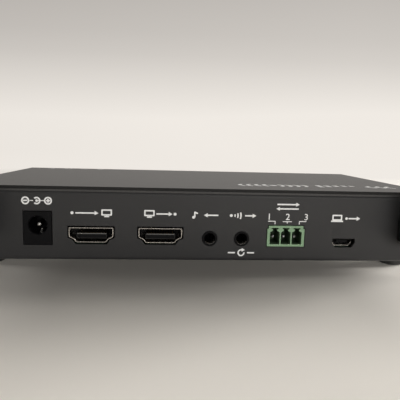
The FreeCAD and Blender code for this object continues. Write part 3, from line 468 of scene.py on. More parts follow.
def slab(shape, middle, size):
    """Makes a block about a middle and gives back its corners."""
    lay = Matrix.Translation(middle) @ Matrix.Diagonal((*size, 1))
    return bmesh.ops.create_cube(shape, size=1.0, matrix=lay)["verts"]


print("an arc of two steps:", arc((0, 0), 1, 0, 90, 2))
# %% Turn the rods
GRIP_RADIUS, SLEEVE_RADIUS, GRIP_TOP = 4.89, 3.9, 28.9
GRIP_ABOVE, GRIP_ROUND, GRIP_SHOULDER, CAP_ROUND = 4.4, 0.5, 1.0, 2.2
RING_COUNT, RINGS_START, RINGS_END = 5, 0.8, 3.4
RING = ((0.0, 0.0), (0.35, 0.25), (0.35, 0.55), (0.0, 0.8))    # how deep and how far up
CAP_GROOVE = ((0.0, 4.4), (0.2, 4.2), (0.2, 4.0), (0.0, 3.8))    # how deep and how far below the tip
TONGUE_HALF, TONGUE_RADIUS, TONGUE_TALL, TONGUE_UP = 1.99, 3.6, 5.2, 2.5


def rod_profile(bottom, top):
    """The rod's outline from the axis at its bottom to the axis at its domed tip."""
    ring = (GRIP_TOP - RINGS_END - bottom - RINGS_START) / RING_COUNT
    points = [(0.0, bottom)]
    points += arc((GRIP_RADIUS - GRIP_ROUND, bottom + GRIP_ROUND), GRIP_ROUND, -90, 0, 4)
    for i in range(RING_COUNT):
        start = bottom + RINGS_START + ring * i
        points += [(GRIP_RADIUS - cut, start + up) for cut, up in RING]
    points += arc((GRIP_RADIUS - GRIP_SHOULDER, GRIP_TOP - 2 * GRIP_SHOULDER), GRIP_SHOULDER, 0, 70, 5)
    points += [(SLEEVE_RADIUS, GRIP_TOP)]
    points += [(SLEEVE_RADIUS - cut, top - down) for cut, down in CAP_GROOVE]
    points += arc((SLEEVE_RADIUS - CAP_ROUND, top - CAP_ROUND), CAP_ROUND, 0, 90, 8)
    return points + [(0.0, top)]


for side in ("left", "right"):
    pivot = in_mm(side + "_hinge_pin")[2]
    tip = in_mm(side + "_antenna_cap")[1].z
    shape = bmesh.new()
    turned(shape, rod_profile(pivot.z + GRIP_ABOVE, tip), (pivot.x, pivot.y, 0))
    middle = Matrix.Translation(pivot) @ Matrix.Rotation(math.pi / 2, 4, "Y")
    size = {"radius1": TONGUE_RADIUS, "radius2": TONGUE_RADIUS, "depth": 2 * TONGUE_HALF, "segments": 48}
    bmesh.ops.create_cone(shape, cap_ends=True, matrix=middle, **size)
    slab(shape, pivot + Vector((0, 0, TONGUE_UP)), (2 * TONGUE_HALF, 2 * TONGUE_RADIUS, TONGUE_TALL))
    replaced = (side + "_antenna_rod", side + "_antenna_cap")
    piece(side + "_rod_skin", shape, "antenna_plastic", *replaced, body=side + "_rod")
# %% [markdown]
# ## Hems of the tray
# The photograph shows a hair line and a pale line under the lid's dark edge. A hem would draw both, and
# they are read as one here: the wall's top edge folded over and hammered flat, so that the seam is no slot.
# Its paler coat is painted highlight, for the light that the top edge catches. One slim block along each
# wall, a hair proud of it, is that hem.
# %% Hem the walls
HEM_LOW, HEM_HIGH, HEM_THICK, HEM_END, HEM_PROUD = 27.4, 28.09, 0.9, 0.1, 0.02
tray_low, tray_high, _ = in_mm("base_tray")
shape = bmesh.new()
for y in (tray_low.y - HEM_PROUD + HEM_THICK / 2, tray_high.y + HEM_PROUD - HEM_THICK / 2):
    size = (tray_high.x - tray_low.x - 2 * HEM_END, HEM_THICK, HEM_HIGH - HEM_LOW)
    slab(shape, (0, y, (HEM_LOW + HEM_HIGH) / 2), size)
piece("wall_hems", shape, "case_coating", finish="hem_painted_highlight")
# %% [markdown]
# ## Video socket shells
# The shell is one strip of nickel-plated steel folded into a stepped outline, and the soft burr of its cut
# front edge draws the thin bright line in the photograph. The outline is one face whose corners are
# bevelled, its border is pulled back into a tube and a wall is given inwards. Each shell is drawn a little
# inside the frame's own, so that the dark gap round it shows, and the small data shell also lies further
# back.
# %% Fold the video shells
SHELL_SKIN = 0.3
# Right halves of the outlines, from the roof down, about the middle of the node's roof.
VIDEO_HALF = [(7.25, -0.25), (7.25, -3.5), (5.75, -4.1), (4.8, -5.3)]
DATA_HALF = [(3.6, -0.3), (3.6, -1.4), (2.7, -2.65)]


def softened(made, width):
    """Rounds the sharp edges of a piece by width millimetres."""
    burr = made.modifiers.new("burr", "BEVEL")
    burr.width = width * MM
    burr.segments = 3
    burr.limit_method = "ANGLE"
    burr.angle_limit = math.radians(60)


def doubled(shape, edges):
    """Extrudes edges in place and gives back the new edges and their ends."""
    new = bmesh.ops.extrude_edge_only(shape, edges=edges)["geom"]
    return [[g for g in new if isinstance(g, kind)] for kind in (bmesh.types.BMEdge, bmesh.types.BMVert)]


def folded_shell(name, node, half_outline, corner, finish="socket_metal", set_back=0.0):
    """A sheet shell hung from a node's roof, with rounded folds and a softened front edge."""
    low, high, middle = in_mm(node)
    low.y += set_back
    outline = half_outline + [(-x, z) for x, z in reversed(half_outline)]
    shape = bmesh.new()
    points = [shape.verts.new((middle.x + x, low.y, high.z + z)) for x, z in outline]
    shape.faces.new(points)
    rolled(shape, shape.verts, corner, 5, "VERTICES")
    face = shape.faces[:][0]
    deep = doubled(shape, list(face.edges))[1]
    bmesh.ops.translate(shape, vec=(0, high.y - low.y, 0), verts=deep)
    bmesh.ops.delete(shape, geom=[face], context="FACES_ONLY")
    made = piece(name, shape, "socket_metal", node, finish=finish)
    wall = made.modifiers.new("wall", "SOLIDIFY")
    wall.thickness = SHELL_SKIN * MM
    wall.offset = -1
    softened(made, width=0.09)


for way in ("video_out", "video_in"):
    folded_shell(way + "_sleeve", way + "_shell", VIDEO_HALF, 0.45)
folded_shell("data_sleeve", "data_shell", DATA_HALF, 0.4, "data_metal", set_back=0.9)
# %% [markdown]
# ## Spring fingers
# Two fingers are sheared out of the roof of each shell and bent inwards, to grip the plug. A flat grid bent
# by a sine along its length makes one, and a wall gives it the sheet's thickness.
# %% Bend the fingers
FINGER_WIDTH, FINGER_LENGTH, FINGER_DIP, FINGER_SKIN = 1.9, 5.6, 0.45, 0.12
FINGER_ASIDE, FINGER_SET_BACK, FINGER_GAP = 3.4, 1.6, 0.02
shape = bmesh.new()
for way in ("video_out", "video_in"):
    low, high, middle = in_mm(way + "_shell")
    for aside in (-FINGER_ASIDE, FINGER_ASIDE):
        start = low.y + FINGER_SET_BACK
        spot = Vector((middle.x + aside, start + FINGER_LENGTH / 2, high.z - SHELL_SKIN))
        lay = Matrix.Translation(spot) @ Matrix.Diagonal((FINGER_WIDTH, FINGER_LENGTH, 1, 1))
        grid = bmesh.ops.create_grid(shape, x_segments=1, y_segments=12, size=0.5, matrix=lay)["verts"]
        for vert in grid:
            share = (vert.co.y - spot.y) / FINGER_LENGTH + 0.5
            vert.co.z -= FINGER_DIP * math.sin(math.pi * share) + FINGER_GAP
bmesh.ops.solidify(shape, geom=list(shape.faces), thickness=FINGER_SKIN)
piece("shell_fingers", shape, "socket_metal")
# %% [markdown]
# ## Noses of the video tongues
# The tongue in a video socket is moulded plastic with a fine raised rim at its front. The photograph shows
# one pale line in the black mouth, where the rim's upper edge catches the light. Each nose is a block whose
# front is inset and pushed back, and that line is a slim bar on top with a pale finish of its own: a
# painted highlight.
# %% Mould the tongue noses
NOSE, HIGHLIGHT_BAR = Vector((9.9, 1.2, 1.6)), Vector((9.6, 0.62, 0.3))    # width, length and height of each
NOSE_RIM, NOSE_SINK, NOSE_DRAFT, NOSE_DROP, NOSE_SET_BACK = 0.24, 0.12, 0.05, 3.4, 1.33
HIGHLIGHT_BACK, HIGHLIGHT_RISE = 0.3, 0.05
shape, highlight_bars = bmesh.new(), bmesh.new()
for way in ("video_out", "video_in"):
    low, high, middle = in_mm(way + "_shell")
    start, z = low.y + NOSE_SET_BACK, high.z - NOSE_DROP
    nose_y = start + NOSE.y / 2
    nose = slab(shape, (middle.x, nose_y, z), NOSE)
    front = list({f for v in nose for f in v.link_faces if all(w.co.y < nose_y for w in f.verts)})
    bmesh.ops.inset_individual(shape, faces=front, thickness=NOSE_RIM, depth=0.0)
    bmesh.ops.inset_individual(shape, faces=front, thickness=NOSE_DRAFT, depth=-NOSE_SINK)
    # The pale bar on each nose's top edge is a painted highlight.
    slab(highlight_bars, (middle.x, start + HIGHLIGHT_BACK, z + NOSE.z / 2 + HIGHLIGHT_RISE), HIGHLIGHT_BAR)
softened(piece("tongue_noses", shape, "black_plastic", finish="tongue_plastic"), width=0.07)
softened(piece("painted_highlight_edges", highlight_bars, "black_plastic", finish="painted_highlight_plastic"), width=0.1)
# %% [markdown]
# ## Rims of the round sockets
# The mouth of each round socket is a flat black ring with a small chamfer: one spun profile. A contact
# spring lies in the bottom of the bore and touches the plug's sleeve. Its front edge is the bright crescent
# in the hole, and a spin that stops after a part turn makes it.
# %% Turn the rims and springs
SPRING_REACH = 64.0
shape, springs = bmesh.new(), bmesh.new()
for way in ("sound_socket", "infrared_socket"):
    low, high, middle = in_mm(way + "_body")
    mouth = Vector((middle.x, low.y, middle.z))
    rim = [(2.47, 0.4), (2.47, 0.06), (2.40, -0.05), (2.02, -0.05), (1.82, 0.16), (1.82, 0.4), (2.47, 0.4)]
    turned(shape, rim, mouth, (0, 1, 0))
    start = Matrix.Rotation(math.radians(90 - SPRING_REACH), 3, "Y")
    strip = [(1.81, 0.0), (1.60, 0.3), (1.60, 3.0), (1.81, 3.0)]
    ends = [springs.verts.new(mouth + start @ Vector((r, y, 0))) for r, y in strip]
    face = springs.faces.new(ends)
    sweep = {"cent": mouth, "axis": (0, 1, 0), "angle": math.radians(2 * SPRING_REACH), "steps": 24}
    bmesh.ops.spin(springs, geom=ends + list(face.edges) + [face], **sweep)
piece("socket_rims", shape, "black_plastic")
piece("sleeve_springs", springs, "socket_metal")
# %% [markdown]
# ## The power pin and its spring
# The centre pin of a power socket ends in a round dome, so the plug slides on, and a leaf spring beside it
# presses on the plug. They are the two sharp glints deep in the black hole. The pin is a profile spun about
# its own axis, and the leaf is a flat grid, rolled inwards by a quarter turn and given a wall. It reaches
# lower than the frame's plain spring, where the second glint is.
# %% Turn the power pin and bend its spring
LEAF_BOW, LEAF_SKIN, LEAF_DROP, LEAF_TALL, LEAF_LEAN = 2.5, 0.18, 2.9, 2.2, 0.35
pin_low, pin_high, pin_middle = in_mm("power_pin")
pin_radius = (pin_high.x - pin_low.x) / 2
dome = [(x, -y) for x, y in arc((0.0, -pin_radius), pin_radius, 90, 0, 10)]
shape = bmesh.new()
leaf_low, leaf_high, middle = in_mm("power_spring")
leaf_size = leaf_high - leaf_low
lay = Matrix.Translation(middle) @ Matrix.Rotation(math.pi / 2, 4, "Y")
lay = lay @ Matrix.Diagonal((leaf_size.z * LEAF_TALL, leaf_size.y, 1, 1))
bmesh.ops.create_grid(shape, x_segments=4, y_segments=16, size=0.5, matrix=lay)
for vert in shape.verts:
    roll = (leaf_high.y - vert.co.y) / leaf_size.y * math.pi / 2
    vert.co.y = leaf_high.y - leaf_size.y * math.sin(roll)
    vert.co.x -= LEAF_BOW * (1 - math.cos(roll)) - LEAF_LEAN * (vert.co.z - middle.z)
    vert.co.z -= LEAF_DROP * math.sin(roll)
bmesh.ops.solidify(shape, geom=list(shape.faces), thickness=LEAF_SKIN)
piece("power_leaf", shape, "bright_pins", "power_spring")
shape = bmesh.new()
profile = dome + [(pin_radius, pin_high.y - pin_low.y), (0.0, pin_high.y - pin_low.y)]
turned(shape, profile, (pin_middle.x, pin_low.y, pin_middle.z), (0, 1, 0), 48)
piece("power_pin_turned", shape, "bright_pins", "power_pin")
# %% [markdown]
# ## The terminal socket
# The green socket for a screw terminal is one moulding: three deep cells with thin ribs between them, and
# in each cell two small teeth that key the plug. It could be a block with cuts, but its face says it all:
# one outline with three holes is filled, every border is pulled back, and each cell gets a back wall.
# %% Mould the terminal socket
WAYS, PITCH, RIB, WALL, CELL_DEPTH = 3, 3.81, 0.5, 0.75, 7.6
STEP, STEP_HEIGHT = 0.45, 1.1
TOOTH, TOOTH_LOW, TOOTH_HIGH, TOP_NARROWS = 0.95, 2.25, 1.35, 0.45
TOOTH_SLOPE, TOP_SLOPE = 0.5, 0.3


def border(shape, points):
    """A closed ring of edges through flat points."""
    verts = [shape.verts.new((x, y, 0.0)) for x, y in points]
    return [shape.edges.new(pair) for pair in zip(verts, verts[1:] + verts[:1])]


def both_sides(middle, right):
    """A closed outline from its right side, read from the bottom up."""
    left = [(-x, y) for x, y in reversed(right)]
    return [(middle + x, y) for x, y in right + left]


def pulled(shape, edges, depth):
    """Pulls a border back by depth and closes it."""
    deep = doubled(shape, edges)[1]
    bmesh.ops.translate(shape, vec=(0, 0, -depth), verts=deep)
    bmesh.ops.contextual_create(shape, geom=deep)


low, high, middle = in_mm("terminal_housing")
half, tall = (high.x - low.x) / 2, high.z - low.z
shape = bmesh.new()
face = [(half, 0.0), (half, tall - STEP_HEIGHT), (half - STEP, tall - STEP_HEIGHT), (half - STEP, tall)]
outer = border(shape, both_sides(0.0, face))
room = (PITCH - RIB) / 2
cell = [(room, WALL), (room, tall - TOOTH_LOW), (room - TOOTH, tall - TOOTH_LOW + TOOTH_SLOPE)]
cell += [(room - TOOTH, tall - TOOTH_HIGH), (room - TOP_NARROWS, tall - TOOTH_HIGH + TOP_SLOPE)]
cell += [(room - TOP_NARROWS, tall - WALL)]
cells = [border(shape, both_sides(PITCH * (i - (WAYS - 1) / 2), cell)) for i in range(WAYS)]
bmesh.ops.triangle_fill(shape, edges=outer + sum(cells, []), use_beauty=True)
for hole in cells:
    pulled(shape, hole, CELL_DEPTH)
pulled(shape, outer, high.y - low.y)
stand = Matrix.Translation((middle.x, low.y, low.z)) @ Matrix.Rotation(math.pi / 2, 4, "X")
bmesh.ops.transform(shape, matrix=stand, verts=shape.verts)
softened(piece("terminal_block", shape, "green_plastic", "terminal_housing"), width=0.06)
# %% [markdown]
# ## The terminal's pins
# Each pin is square wire whose end is ground to a blunt point, so that only a speck of it catches the
# light, and its tail turns down to the board. A cube gets its length, and its front edges get a bevel.
# %% Point the terminal pins
WIRE, TIP, LEG_SHARE = 0.8, 0.3, 0.98
pin_low, pin_high, pin_middle = in_mm("terminal_pins")
shape = bmesh.new()
for i in range(WAYS):
    x = pin_low.x + WIRE / 2 + PITCH * i
    blade_y, blade_z = pin_middle.y, pin_high.z - WIRE / 2
    blade = slab(shape, (x, blade_y, blade_z), (WIRE, pin_high.y - pin_low.y, WIRE))
    tip = {e for v in blade for e in v.link_edges if all(w.co.y < blade_y for w in e.verts)}
    rolled(shape, tip, TIP, 2)
    leg_middle = (x, pin_high.y - WIRE / 2, (pin_low.z + blade_z) / 2)
    slab(shape, leg_middle, (WIRE * LEG_SHARE, WIRE * LEG_SHARE, blade_z - pin_low.z))
piece("pointed_pins", shape, "bright_pins", "terminal_pins", finish="dark_nickel")
# %% [markdown]
# ## Cover screws
# Two countersunk screws hold the cover, one in each side wall, with a plain cross for the driver. The
# head's flat face is a disc with a plus-shaped hole, filled between its two borders, and the hole's border
# is pushed inwards to make the pit. The cone and shank below are the rest of one shape.
# %% Cut the cover screws
CROSS_REACH, CROSS_HALF, CROSS_DEPTH, CROSS_TURN = 1.45, 0.36, 1.1, 0.4
HEAD_DEEP, SHANK_DEEP, SHANK_RADIUS, SUNK = 1.2, 5.0, 1.5, 0.02
screw_low, screw_high, screw_axis = in_mm("cover_screws")
head_radius = (screw_high.z - screw_low.z) / 2


def laid_into(shape, single, lay):
    """Lays a finished bmesh into another one."""
    bmesh.ops.transform(single, matrix=lay, verts=single.verts)
    loose = bpy.data.meshes.new("loose")
    single.to_mesh(loose)
    single.free()
    shape.from_mesh(loose)
    bpy.data.meshes.remove(loose)


def cross(reach, half):
    """The twelve corners of a plus."""
    corner = [(half, half), (half, reach), (-half, reach)]
    turns = [Matrix.Rotation(math.pi / 2 * i, 2) for i in range(4)]
    return [tuple(turn @ Vector(point)) for turn in turns for point in corner]


shape = bmesh.new()
for side in (-1, 1):
    single = bmesh.new()
    disc = bmesh.ops.create_circle(single, segments=48, radius=head_radius)["verts"]
    rim = list({e for v in disc for e in v.link_edges})
    hole = border(single, cross(CROSS_REACH, CROSS_HALF))
    bmesh.ops.triangle_fill(single, edges=rim + hole, use_beauty=True)
    pulled(single, hole, CROSS_DEPTH)
    for drop in (HEAD_DEEP, SHANK_DEEP):
        rim, lower = doubled(single, rim)
        narrow = SHANK_RADIUS / max(v.co.xy.length for v in lower)
        bmesh.ops.scale(single, vec=(narrow, narrow, 1), verts=lower)
        bmesh.ops.translate(single, vec=(0, 0, -drop - lower[0].co.z), verts=lower)
    bmesh.ops.contextual_create(single, geom=lower)
    face_x = screw_high.x if side > 0 else screw_low.x
    spot = Matrix.Translation((face_x - side * SUNK, screw_axis.y, screw_axis.z))
    aim = Matrix.Rotation(side * math.pi / 2, 4, "Y") @ Matrix.Rotation(CROSS_TURN, 4, "Z")
    laid_into(shape, single, spot @ aim)
piece("cross_screws", shape, "black_screws", "cover_screws")
# %% [markdown]
# ## Printed marks
# Beside each socket is a small white mark, a plain pictogram drawn for this object. Each is built flat, in
# its own small plane, from bars, rings and arcs, then laid on the wall and given the thickness of a coat of
# ink. Strokes take turns on a few levels a hair apart, so that those that cross don't share a plane.
# %% Flat shapes for the marks
INK = 0.03
STROKE, FINE = 0.48, 0.26
COATS, COAT_STEP = 8, 0.003
coats = itertools.cycle([COAT_STEP * number for number in range(COATS)])


def bar(shape, start, end, stroke=STROKE):
    """A straight stroke between two points."""
    coat = next(coats)
    start, end = Vector((*start, coat)), Vector((*end, coat))
    run = end - start
    lay = Matrix.Translation((start + end) / 2) @ run.to_track_quat("X", "Z").to_matrix().to_4x4()
    size = Matrix.Diagonal((run.length + stroke * 0.5, stroke, 1, 1))
    bmesh.ops.create_grid(shape, x_segments=1, y_segments=1, size=0.5, matrix=lay @ size)


def bow(shape, centre, radius, start, end, stroke=STROKE):
    """An arc stroke round a centre, from start to end in degrees."""
    turn = Matrix.Rotation(math.radians(start), 3, "Z")
    ends = [turn @ Vector((radius + s * stroke / 2, 0, 0)) for s in (-1, 1)]
    middle = Vector((*centre, next(coats)))
    verts = [shape.verts.new(middle + p) for p in ends]
    edge = shape.edges.new(verts)
    sweep = math.radians(end - start)
    steps = max(4, round(abs(end - start) / 8))
    spin = {"cent": middle, "axis": (0, 0, 1), "angle": sweep, "steps": steps}
    bmesh.ops.spin(shape, geom=verts + [edge], use_merge=end - start >= 360, **spin)


def dot(shape, centre, radius, sides=24, turn=0.0):
    """A filled disc, or a triangle when it has three sides."""
    lay = Matrix.Translation((*centre, next(coats))) @ Matrix.Rotation(math.radians(turn), 4, "Z")
    bmesh.ops.create_circle(shape, cap_ends=True, segments=sides, radius=radius, matrix=lay)


def frame_box(shape, left, low, right, high):
    """The outline of a rectangle."""
    for y in (low, high):
        bar(shape, (left, y), (right, y))
    for x in (left, right):
        bar(shape, (x, low), (x, high))


def arrow(shape, start, end, head=0.85):
    """A straight arrow whose head is a triangle at its end."""
    bar(shape, start, end)
    turn = math.degrees(math.atan2(end[1] - start[1], end[0] - start[0]))
    dot(shape, end, head, 3, turn - 90)


print("ink thickness in mm:", INK)
# %% [markdown]
# ## Laying the marks on the case
# A mark is drawn in a plane of its own, X to its right and Y up. One matrix stands that plane on the socket
# wall and another lays it on the lid, to read from the other side. At the end every face is pulled out by
# the ink's thickness.
# %% Collect and print the marks
wall_y = in_mm("base_tray")[0].y
lid_low, lid_high, _ = in_mm("top_cover")
ON_WALL = Matrix.Rotation(math.pi / 2, 4, "X")
ON_LID = Matrix.Rotation(math.pi, 4, "Z")
marks = bmesh.new()


def stamp(lay, *strokes):
    """Draws strokes, each a function and its measures, in their own plane and lays them on the case."""
    single = bmesh.new()
    for stroke, *measures in strokes:
        stroke(single, *measures)
    laid_into(marks, single, lay)


def on_wall(x, z, *strokes):
    """Prints a mark on the socket wall with its middle at x and z."""
    stamp(Matrix.Translation((x, wall_y, z)) @ ON_WALL, *strokes)


def screen(shape, x):
    """A screen on its stand."""
    frame_box(shape, x - 1.5, -0.55, x + 1.5, 1.05)
    bar(shape, (x - 0.7, -1.1), (x + 0.7, -1.1))
    bar(shape, (x, -0.6), (x, -1.0))


# Centre-positive plug: minus ring, plus ring, core.
on_wall(
    -54.3, 24.25,
    (bow, (-3.6, 0), 1.05, 0, 360), (bar, (-4.1, 0), (-3.1, 0)),
    (bow, (3.6, 0), 1.05, 0, 360), (bar, (3.1, 0), (4.1, 0)), (bar, (3.6, -0.5), (3.6, 0.5)),
    (bow, (0, 0), 1.0, -135, 135), (dot, (0, 0), 0.42),
    (bar, (0, 0), (2.4, 0), FINE), (bar, (-2.4, 0), (-1.2, 0), FINE),
)
# A signal that leaves for a screen, and one that comes from a screen.
on_wall(-37.0, 20.4, (dot, (-6.1, 0), 0.5), (arrow, (-4.9, 0), (1.6, 0)), (screen, 5.1))
on_wall(-14.3, 20.4, (screen, -3.6), (arrow, (-1.2, 0), (3.2, 0)), (dot, (4.9, 0), 0.5))
# A note and an arrow.
on_wall(
    0.7, 20.2,
    (dot, (-3.9, -0.75), 0.48), (bar, (-3.5, -0.7), (-3.5, 1.0)), (bar, (-3.5, 1.0), (-2.6, 0.55)),
    (arrow, (4.3, 0), (0.4, 0)),
)
# A lamp that sends out rays.
waves_out = [(bow, (-3.9, 0), radius, -20, 20) for radius in (1.3, 2.3, 3.3)]
on_wall(13.4, 20.2, (dot, (-3.9, 0), 0.5), *waves_out, (arrow, (0.9, 0), (3.8, 0)))
# A turn back to the start between two short strokes.
on_wall(
    13.3, 7.4,
    (bow, (0, 0), 1.0, 75, 365), (dot, (0.55, 0.98), 0.75, 3, -90),
    (bar, (-4.4, 0), (-2.2, 0)), (bar, (2.2, 0), (4.4, 0)),
)
# Two arrows, out and back.
on_wall(28.8, 23.5, (arrow, (-3.6, 0.75), (3.2, 0.75), 0.8), (arrow, (3.6, -0.75), (-3.2, -0.75), 0.8))
# A folding computer and a link to it.
on_wall(
    49.3, 19.7,
    (frame_box, -4.6, -0.5, -1.6, 1.05), (bar, (-5.1, -1.0), (-1.1, -1.0)),
    (arrow, (1.0, 0), (4.2, 0)), (dot, (0.2, 0), 0.45),
)
print("marks on the wall:", len(marks.faces), "faces")
# %% [markdown]
# ## Numbers at the terminal
# The three ways of the terminal are numbered, and thin lines lead from each number to its cell. A text
# object draws the digits and is turned into a mesh before it is placed, because only a mesh can join the
# other marks. Each line is two short strokes.
# %% Number the terminal
DIGIT_SIZE, DIGITS_UP, LEADERS_UP = 3.105, 18.95, 17.95
for digit, x in (("1", 22.5), ("2", 28.9), ("3", 35.3)):
    letters = bpy.data.curves.new("digit", "FONT")
    letters.body = digit
    letters.size = DIGIT_SIZE
    letters.align_x = "CENTER"
    letters.offset = 0.02
    holder = bpy.data.objects.new("digit", letters)
    flat = bpy.data.meshes.new_from_object(holder)
    on_wall(x, DIGITS_UP, (bmesh.types.BMesh.from_mesh, flat))
    bpy.data.objects.remove(holder)
    bpy.data.curves.remove(letters)
    bpy.data.meshes.remove(flat)


def leaders(shape):
    """Lines from the numbers to the three cells, about the middle cell."""
    for side in (-1, 1):
        bar(shape, (side * 6.6, 0.5), (side * 4.2, 0.5), FINE)
        bar(shape, (side * 4.2, 0.5), (side * 4.2, -0.5), FINE)
    bar(shape, (-1.5, 0.4), (1.5, 0.4), FINE)
    bar(shape, (0, 0.4), (0, -0.2), FINE)


on_wall(28.8, LEADERS_UP, (leaders,))
print("marks on the wall:", len(marks.faces), "faces")
# %% [markdown]
# ## The row of marks on the lid
# Along the socket side of the lid runs a larger, bolder print that reads from the other side: signal
# waves, the bars of a signal's strength and chevrons. Upright strokes carry it, because the lid is seen
# so flat that strokes along it almost vanish. Four small strokes near the far edge mark the status lamps.
# %% Print the lid
LID_ROW_IN, BOLD, WAVE_RADIUS, WAVE_OPEN = 15.5, 1.2, 4.2, 46


def on_lid(x, y, *strokes):
    """Prints a mark on the lid, to be read from the lamp side."""
    stamp(Matrix.Translation((x, y, lid_high.z)) @ ON_LID, *strokes)


def waves(shape):
    """Four signal arcs on both sides of a dot."""
    dot(shape, (0, 0), 1.4)
    for step in range(4):
        reach = 3.6 + 3.0 * step
        bow(shape, (reach - WAVE_RADIUS, 0), WAVE_RADIUS, -WAVE_OPEN, WAVE_OPEN, BOLD)
        bow(shape, (WAVE_RADIUS - reach, 0), WAVE_RADIUS, 180 - WAVE_OPEN, 180 + WAVE_OPEN, BOLD)


def level(shape):
    """Five bars that grow like a signal's strength."""
    for step in range(5):
        x = 3.3 * (step - 2)
        bar(shape, (x, -3.0), (x, -1.6 + 1.0 * step), 1.7)


def ahead(shape):
    """Three bold chevrons."""
    for x in (-3.6, 0.0, 3.6):
        for side in (-1, 1):
            bar(shape, (x - 1.2, 3.0 * side), (x + 1.2, 0), BOLD)


row_y = lid_low.y + LID_ROW_IN
for draw, x in ((waves, 27.2), (level, 51.6), (ahead, 67.8)):
    on_lid(x, row_y, (draw,))

lamp_low, lamp_high, _ = in_mm("light_pipes")
LAMPS, PIPE_WIDTH = 4, 3.2
LAMP_REACH, LAMP_STROKE, LAMP_MARK_IN = 1.4, 0.7, 4.5
lamp_pitch = (lamp_high.x - lamp_low.x - PIPE_WIDTH) / (LAMPS - 1)
for i in range(LAMPS):
    lamp_x = lamp_low.x + PIPE_WIDTH / 2 + lamp_pitch * i
    on_lid(lamp_x, lid_high.y - LAMP_MARK_IN, (bar, (-LAMP_REACH, 0), (LAMP_REACH, 0), LAMP_STROKE))
raised = bmesh.ops.extrude_face_region(marks, geom=list(marks.faces))["geom"]
for vert in (v for v in raised if isinstance(v, bmesh.types.BMVert)):
    if abs(vert.co.y - wall_y) < 2 * COATS * COAT_STEP:
        vert.co.y -= INK
    else:
        vert.co.z += INK
piece("printed_marks", marks, "case_coating", finish="white_ink")
# %% [markdown]
# ## Floor and backdrop
# The photograph was taken on a pale, warm sheet that runs up behind the object, so no horizon shows. A
# strip whose back end rolls up into a wall does the same: one edge across the floor, extruded along a
# floor, an arc and a wall. It is stage, and not part of the object.
# %% Roll up the backdrop
HALF_SHEET, SHEET_FRONT, SHEET_BACK, SHEET_ROLL, SHEET_TOP = 6.0, -6.0, 1.1, 0.4, 3.0
route = [(SHEET_FRONT, 0.0), (SHEET_BACK, 0.0)]
route += [(SHEET_BACK + y, SHEET_ROLL + z) for y, z in arc((0, 0), SHEET_ROLL, -85, 0, 17)]
route += [(SHEET_BACK + SHEET_ROLL, SHEET_TOP)]
shape = bmesh.new()
first = [shape.verts.new((side * HALF_SHEET, *route[0])) for side in (-1, 1)]
edge = shape.edges.new(first)
for (y, z), (next_y, next_z) in zip(route, route[1:]):
    edge = doubled(shape, [edge])[0][0]
    bmesh.ops.translate(shape, vec=(0, next_y - y, next_z - z), verts=list(edge.verts))
bmesh.ops.recalc_face_normals(shape, faces=shape.faces)
backdrop = smooth("backdrop", shape)
backdrop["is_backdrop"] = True
print("backdrop faces:", len(backdrop.data.polygons))
# %% [markdown]
# ## Paper that glows for the eye alone
# Behind the object the sheet is almost white, brightest near the table and dimmer higher up. Lamps strong
# enough for that would bleach the object, so away from it the paper gives way to a glow that only the
# camera, mirrors and glass see. It lights nothing, and towards both sides it levels out to the tone of the
# sky, so the sheet's ends don't show. The near floor is paper that keeps shadows, and its colour carries
# painted shadow and painted light: darkest under the middle of the case and paler in front, at the ends,
# behind and towards the right. That tint stands in for light that these lamps don't bring there.
# %% Tint the backdrop
PAPER_DARK, PAPER_LIGHT = (0.54, 0.516, 0.478), (0.86, 0.822, 0.765)
PAPER_NEAR, PAPER_FAR = -0.050, -0.112
END_STARTS, END_FULL = 0.040, 0.070
BACK_STARTS, BACK_FULL = -0.018, 0.030
GLOW_LOW, GLOW_HIGH = (0.46, 0.433, 0.405), (0.87, 0.826, 0.772)
GLOW_STARTS, GLOW_FULL = 0.22, 0.50
SIDE_REACH, SIDE_LIFT, RIGHTWARD = 0.7, 0.098, 2.0
FADE_STARTS, FADE_ENDS, GLOW_AROUND = 0.9, 1.7, 0.90


def eye_rays(link):
    """What only the camera sees, and what only mirrors and glass see, each as 0 or 1."""
    rays = [link.node("LightPath", {}, {}, f"Is {ray} Ray") for ray in ("Camera", "Glossy", "Transmission")]
    return rays[0], rays[1] + rays[2]


shader, place = start_finish("backdrop_paper", Specular_IOR_Level=0.2)
soft = grain(place, 400.0, 1.0)
across, back, up = along(place, "XYZ")
to_side = place.node("Math", {"operation": "ABSOLUTE"}, {0: across})
in_front = rise(back, PAPER_NEAR, PAPER_FAR, kind="SMOOTHSTEP")
at_ends = rise(to_side, END_STARTS, END_FULL, kind="SMOOTHSTEP")
at_back = rise(back, BACK_STARTS, BACK_FULL, kind="SMOOTHSTEP")
lifted = place.sum("MAXIMUM", at_ends, at_back) * (1 - in_front)
# The paper's colour carries painted shadow and painted light: dark under the middle of the case, pale in
# front, at the ends, behind and to the right.
painted_floor_light = in_front + lifted + across * RIGHTWARD + spread(soft, -0.03, 0.03)
plug(shader, Base_Color=tone(painted_floor_light, PAPER_DARK, PAPER_LIGHT), Roughness=spread(soft, 0.75, 0.85))
fall = [(0.0, 0.97), (0.12, 1.0), (0.20, 0.82), (0.28, 0.62), (0.36, 0.40), (0.44, 0.26), (0.60, 0.09)]
height = place.node("ValToRGB", {"stops": fall}, {"Fac": up})
sideways = rise(across, -SIDE_REACH, SIDE_REACH, -SIDE_LIFT, SIDE_LIFT)
fade = rise(to_side, FADE_STARTS, FADE_ENDS)
brightness = (height + sideways) * (1 - fade) + fade * GLOW_AROUND
glow = place.node("Emission", {}, {"Color": tone(brightness, GLOW_LOW, GLOW_HIGH)})
away = place.node("VectorMath", {"operation": "LENGTH"}, {0: place}, "Value")
beyond = rise(away, GLOW_STARTS, GLOW_FULL)
to_camera, to_mirrors = eye_rays(place)
paper = Link(place.tree, shader.outputs["BSDF"])
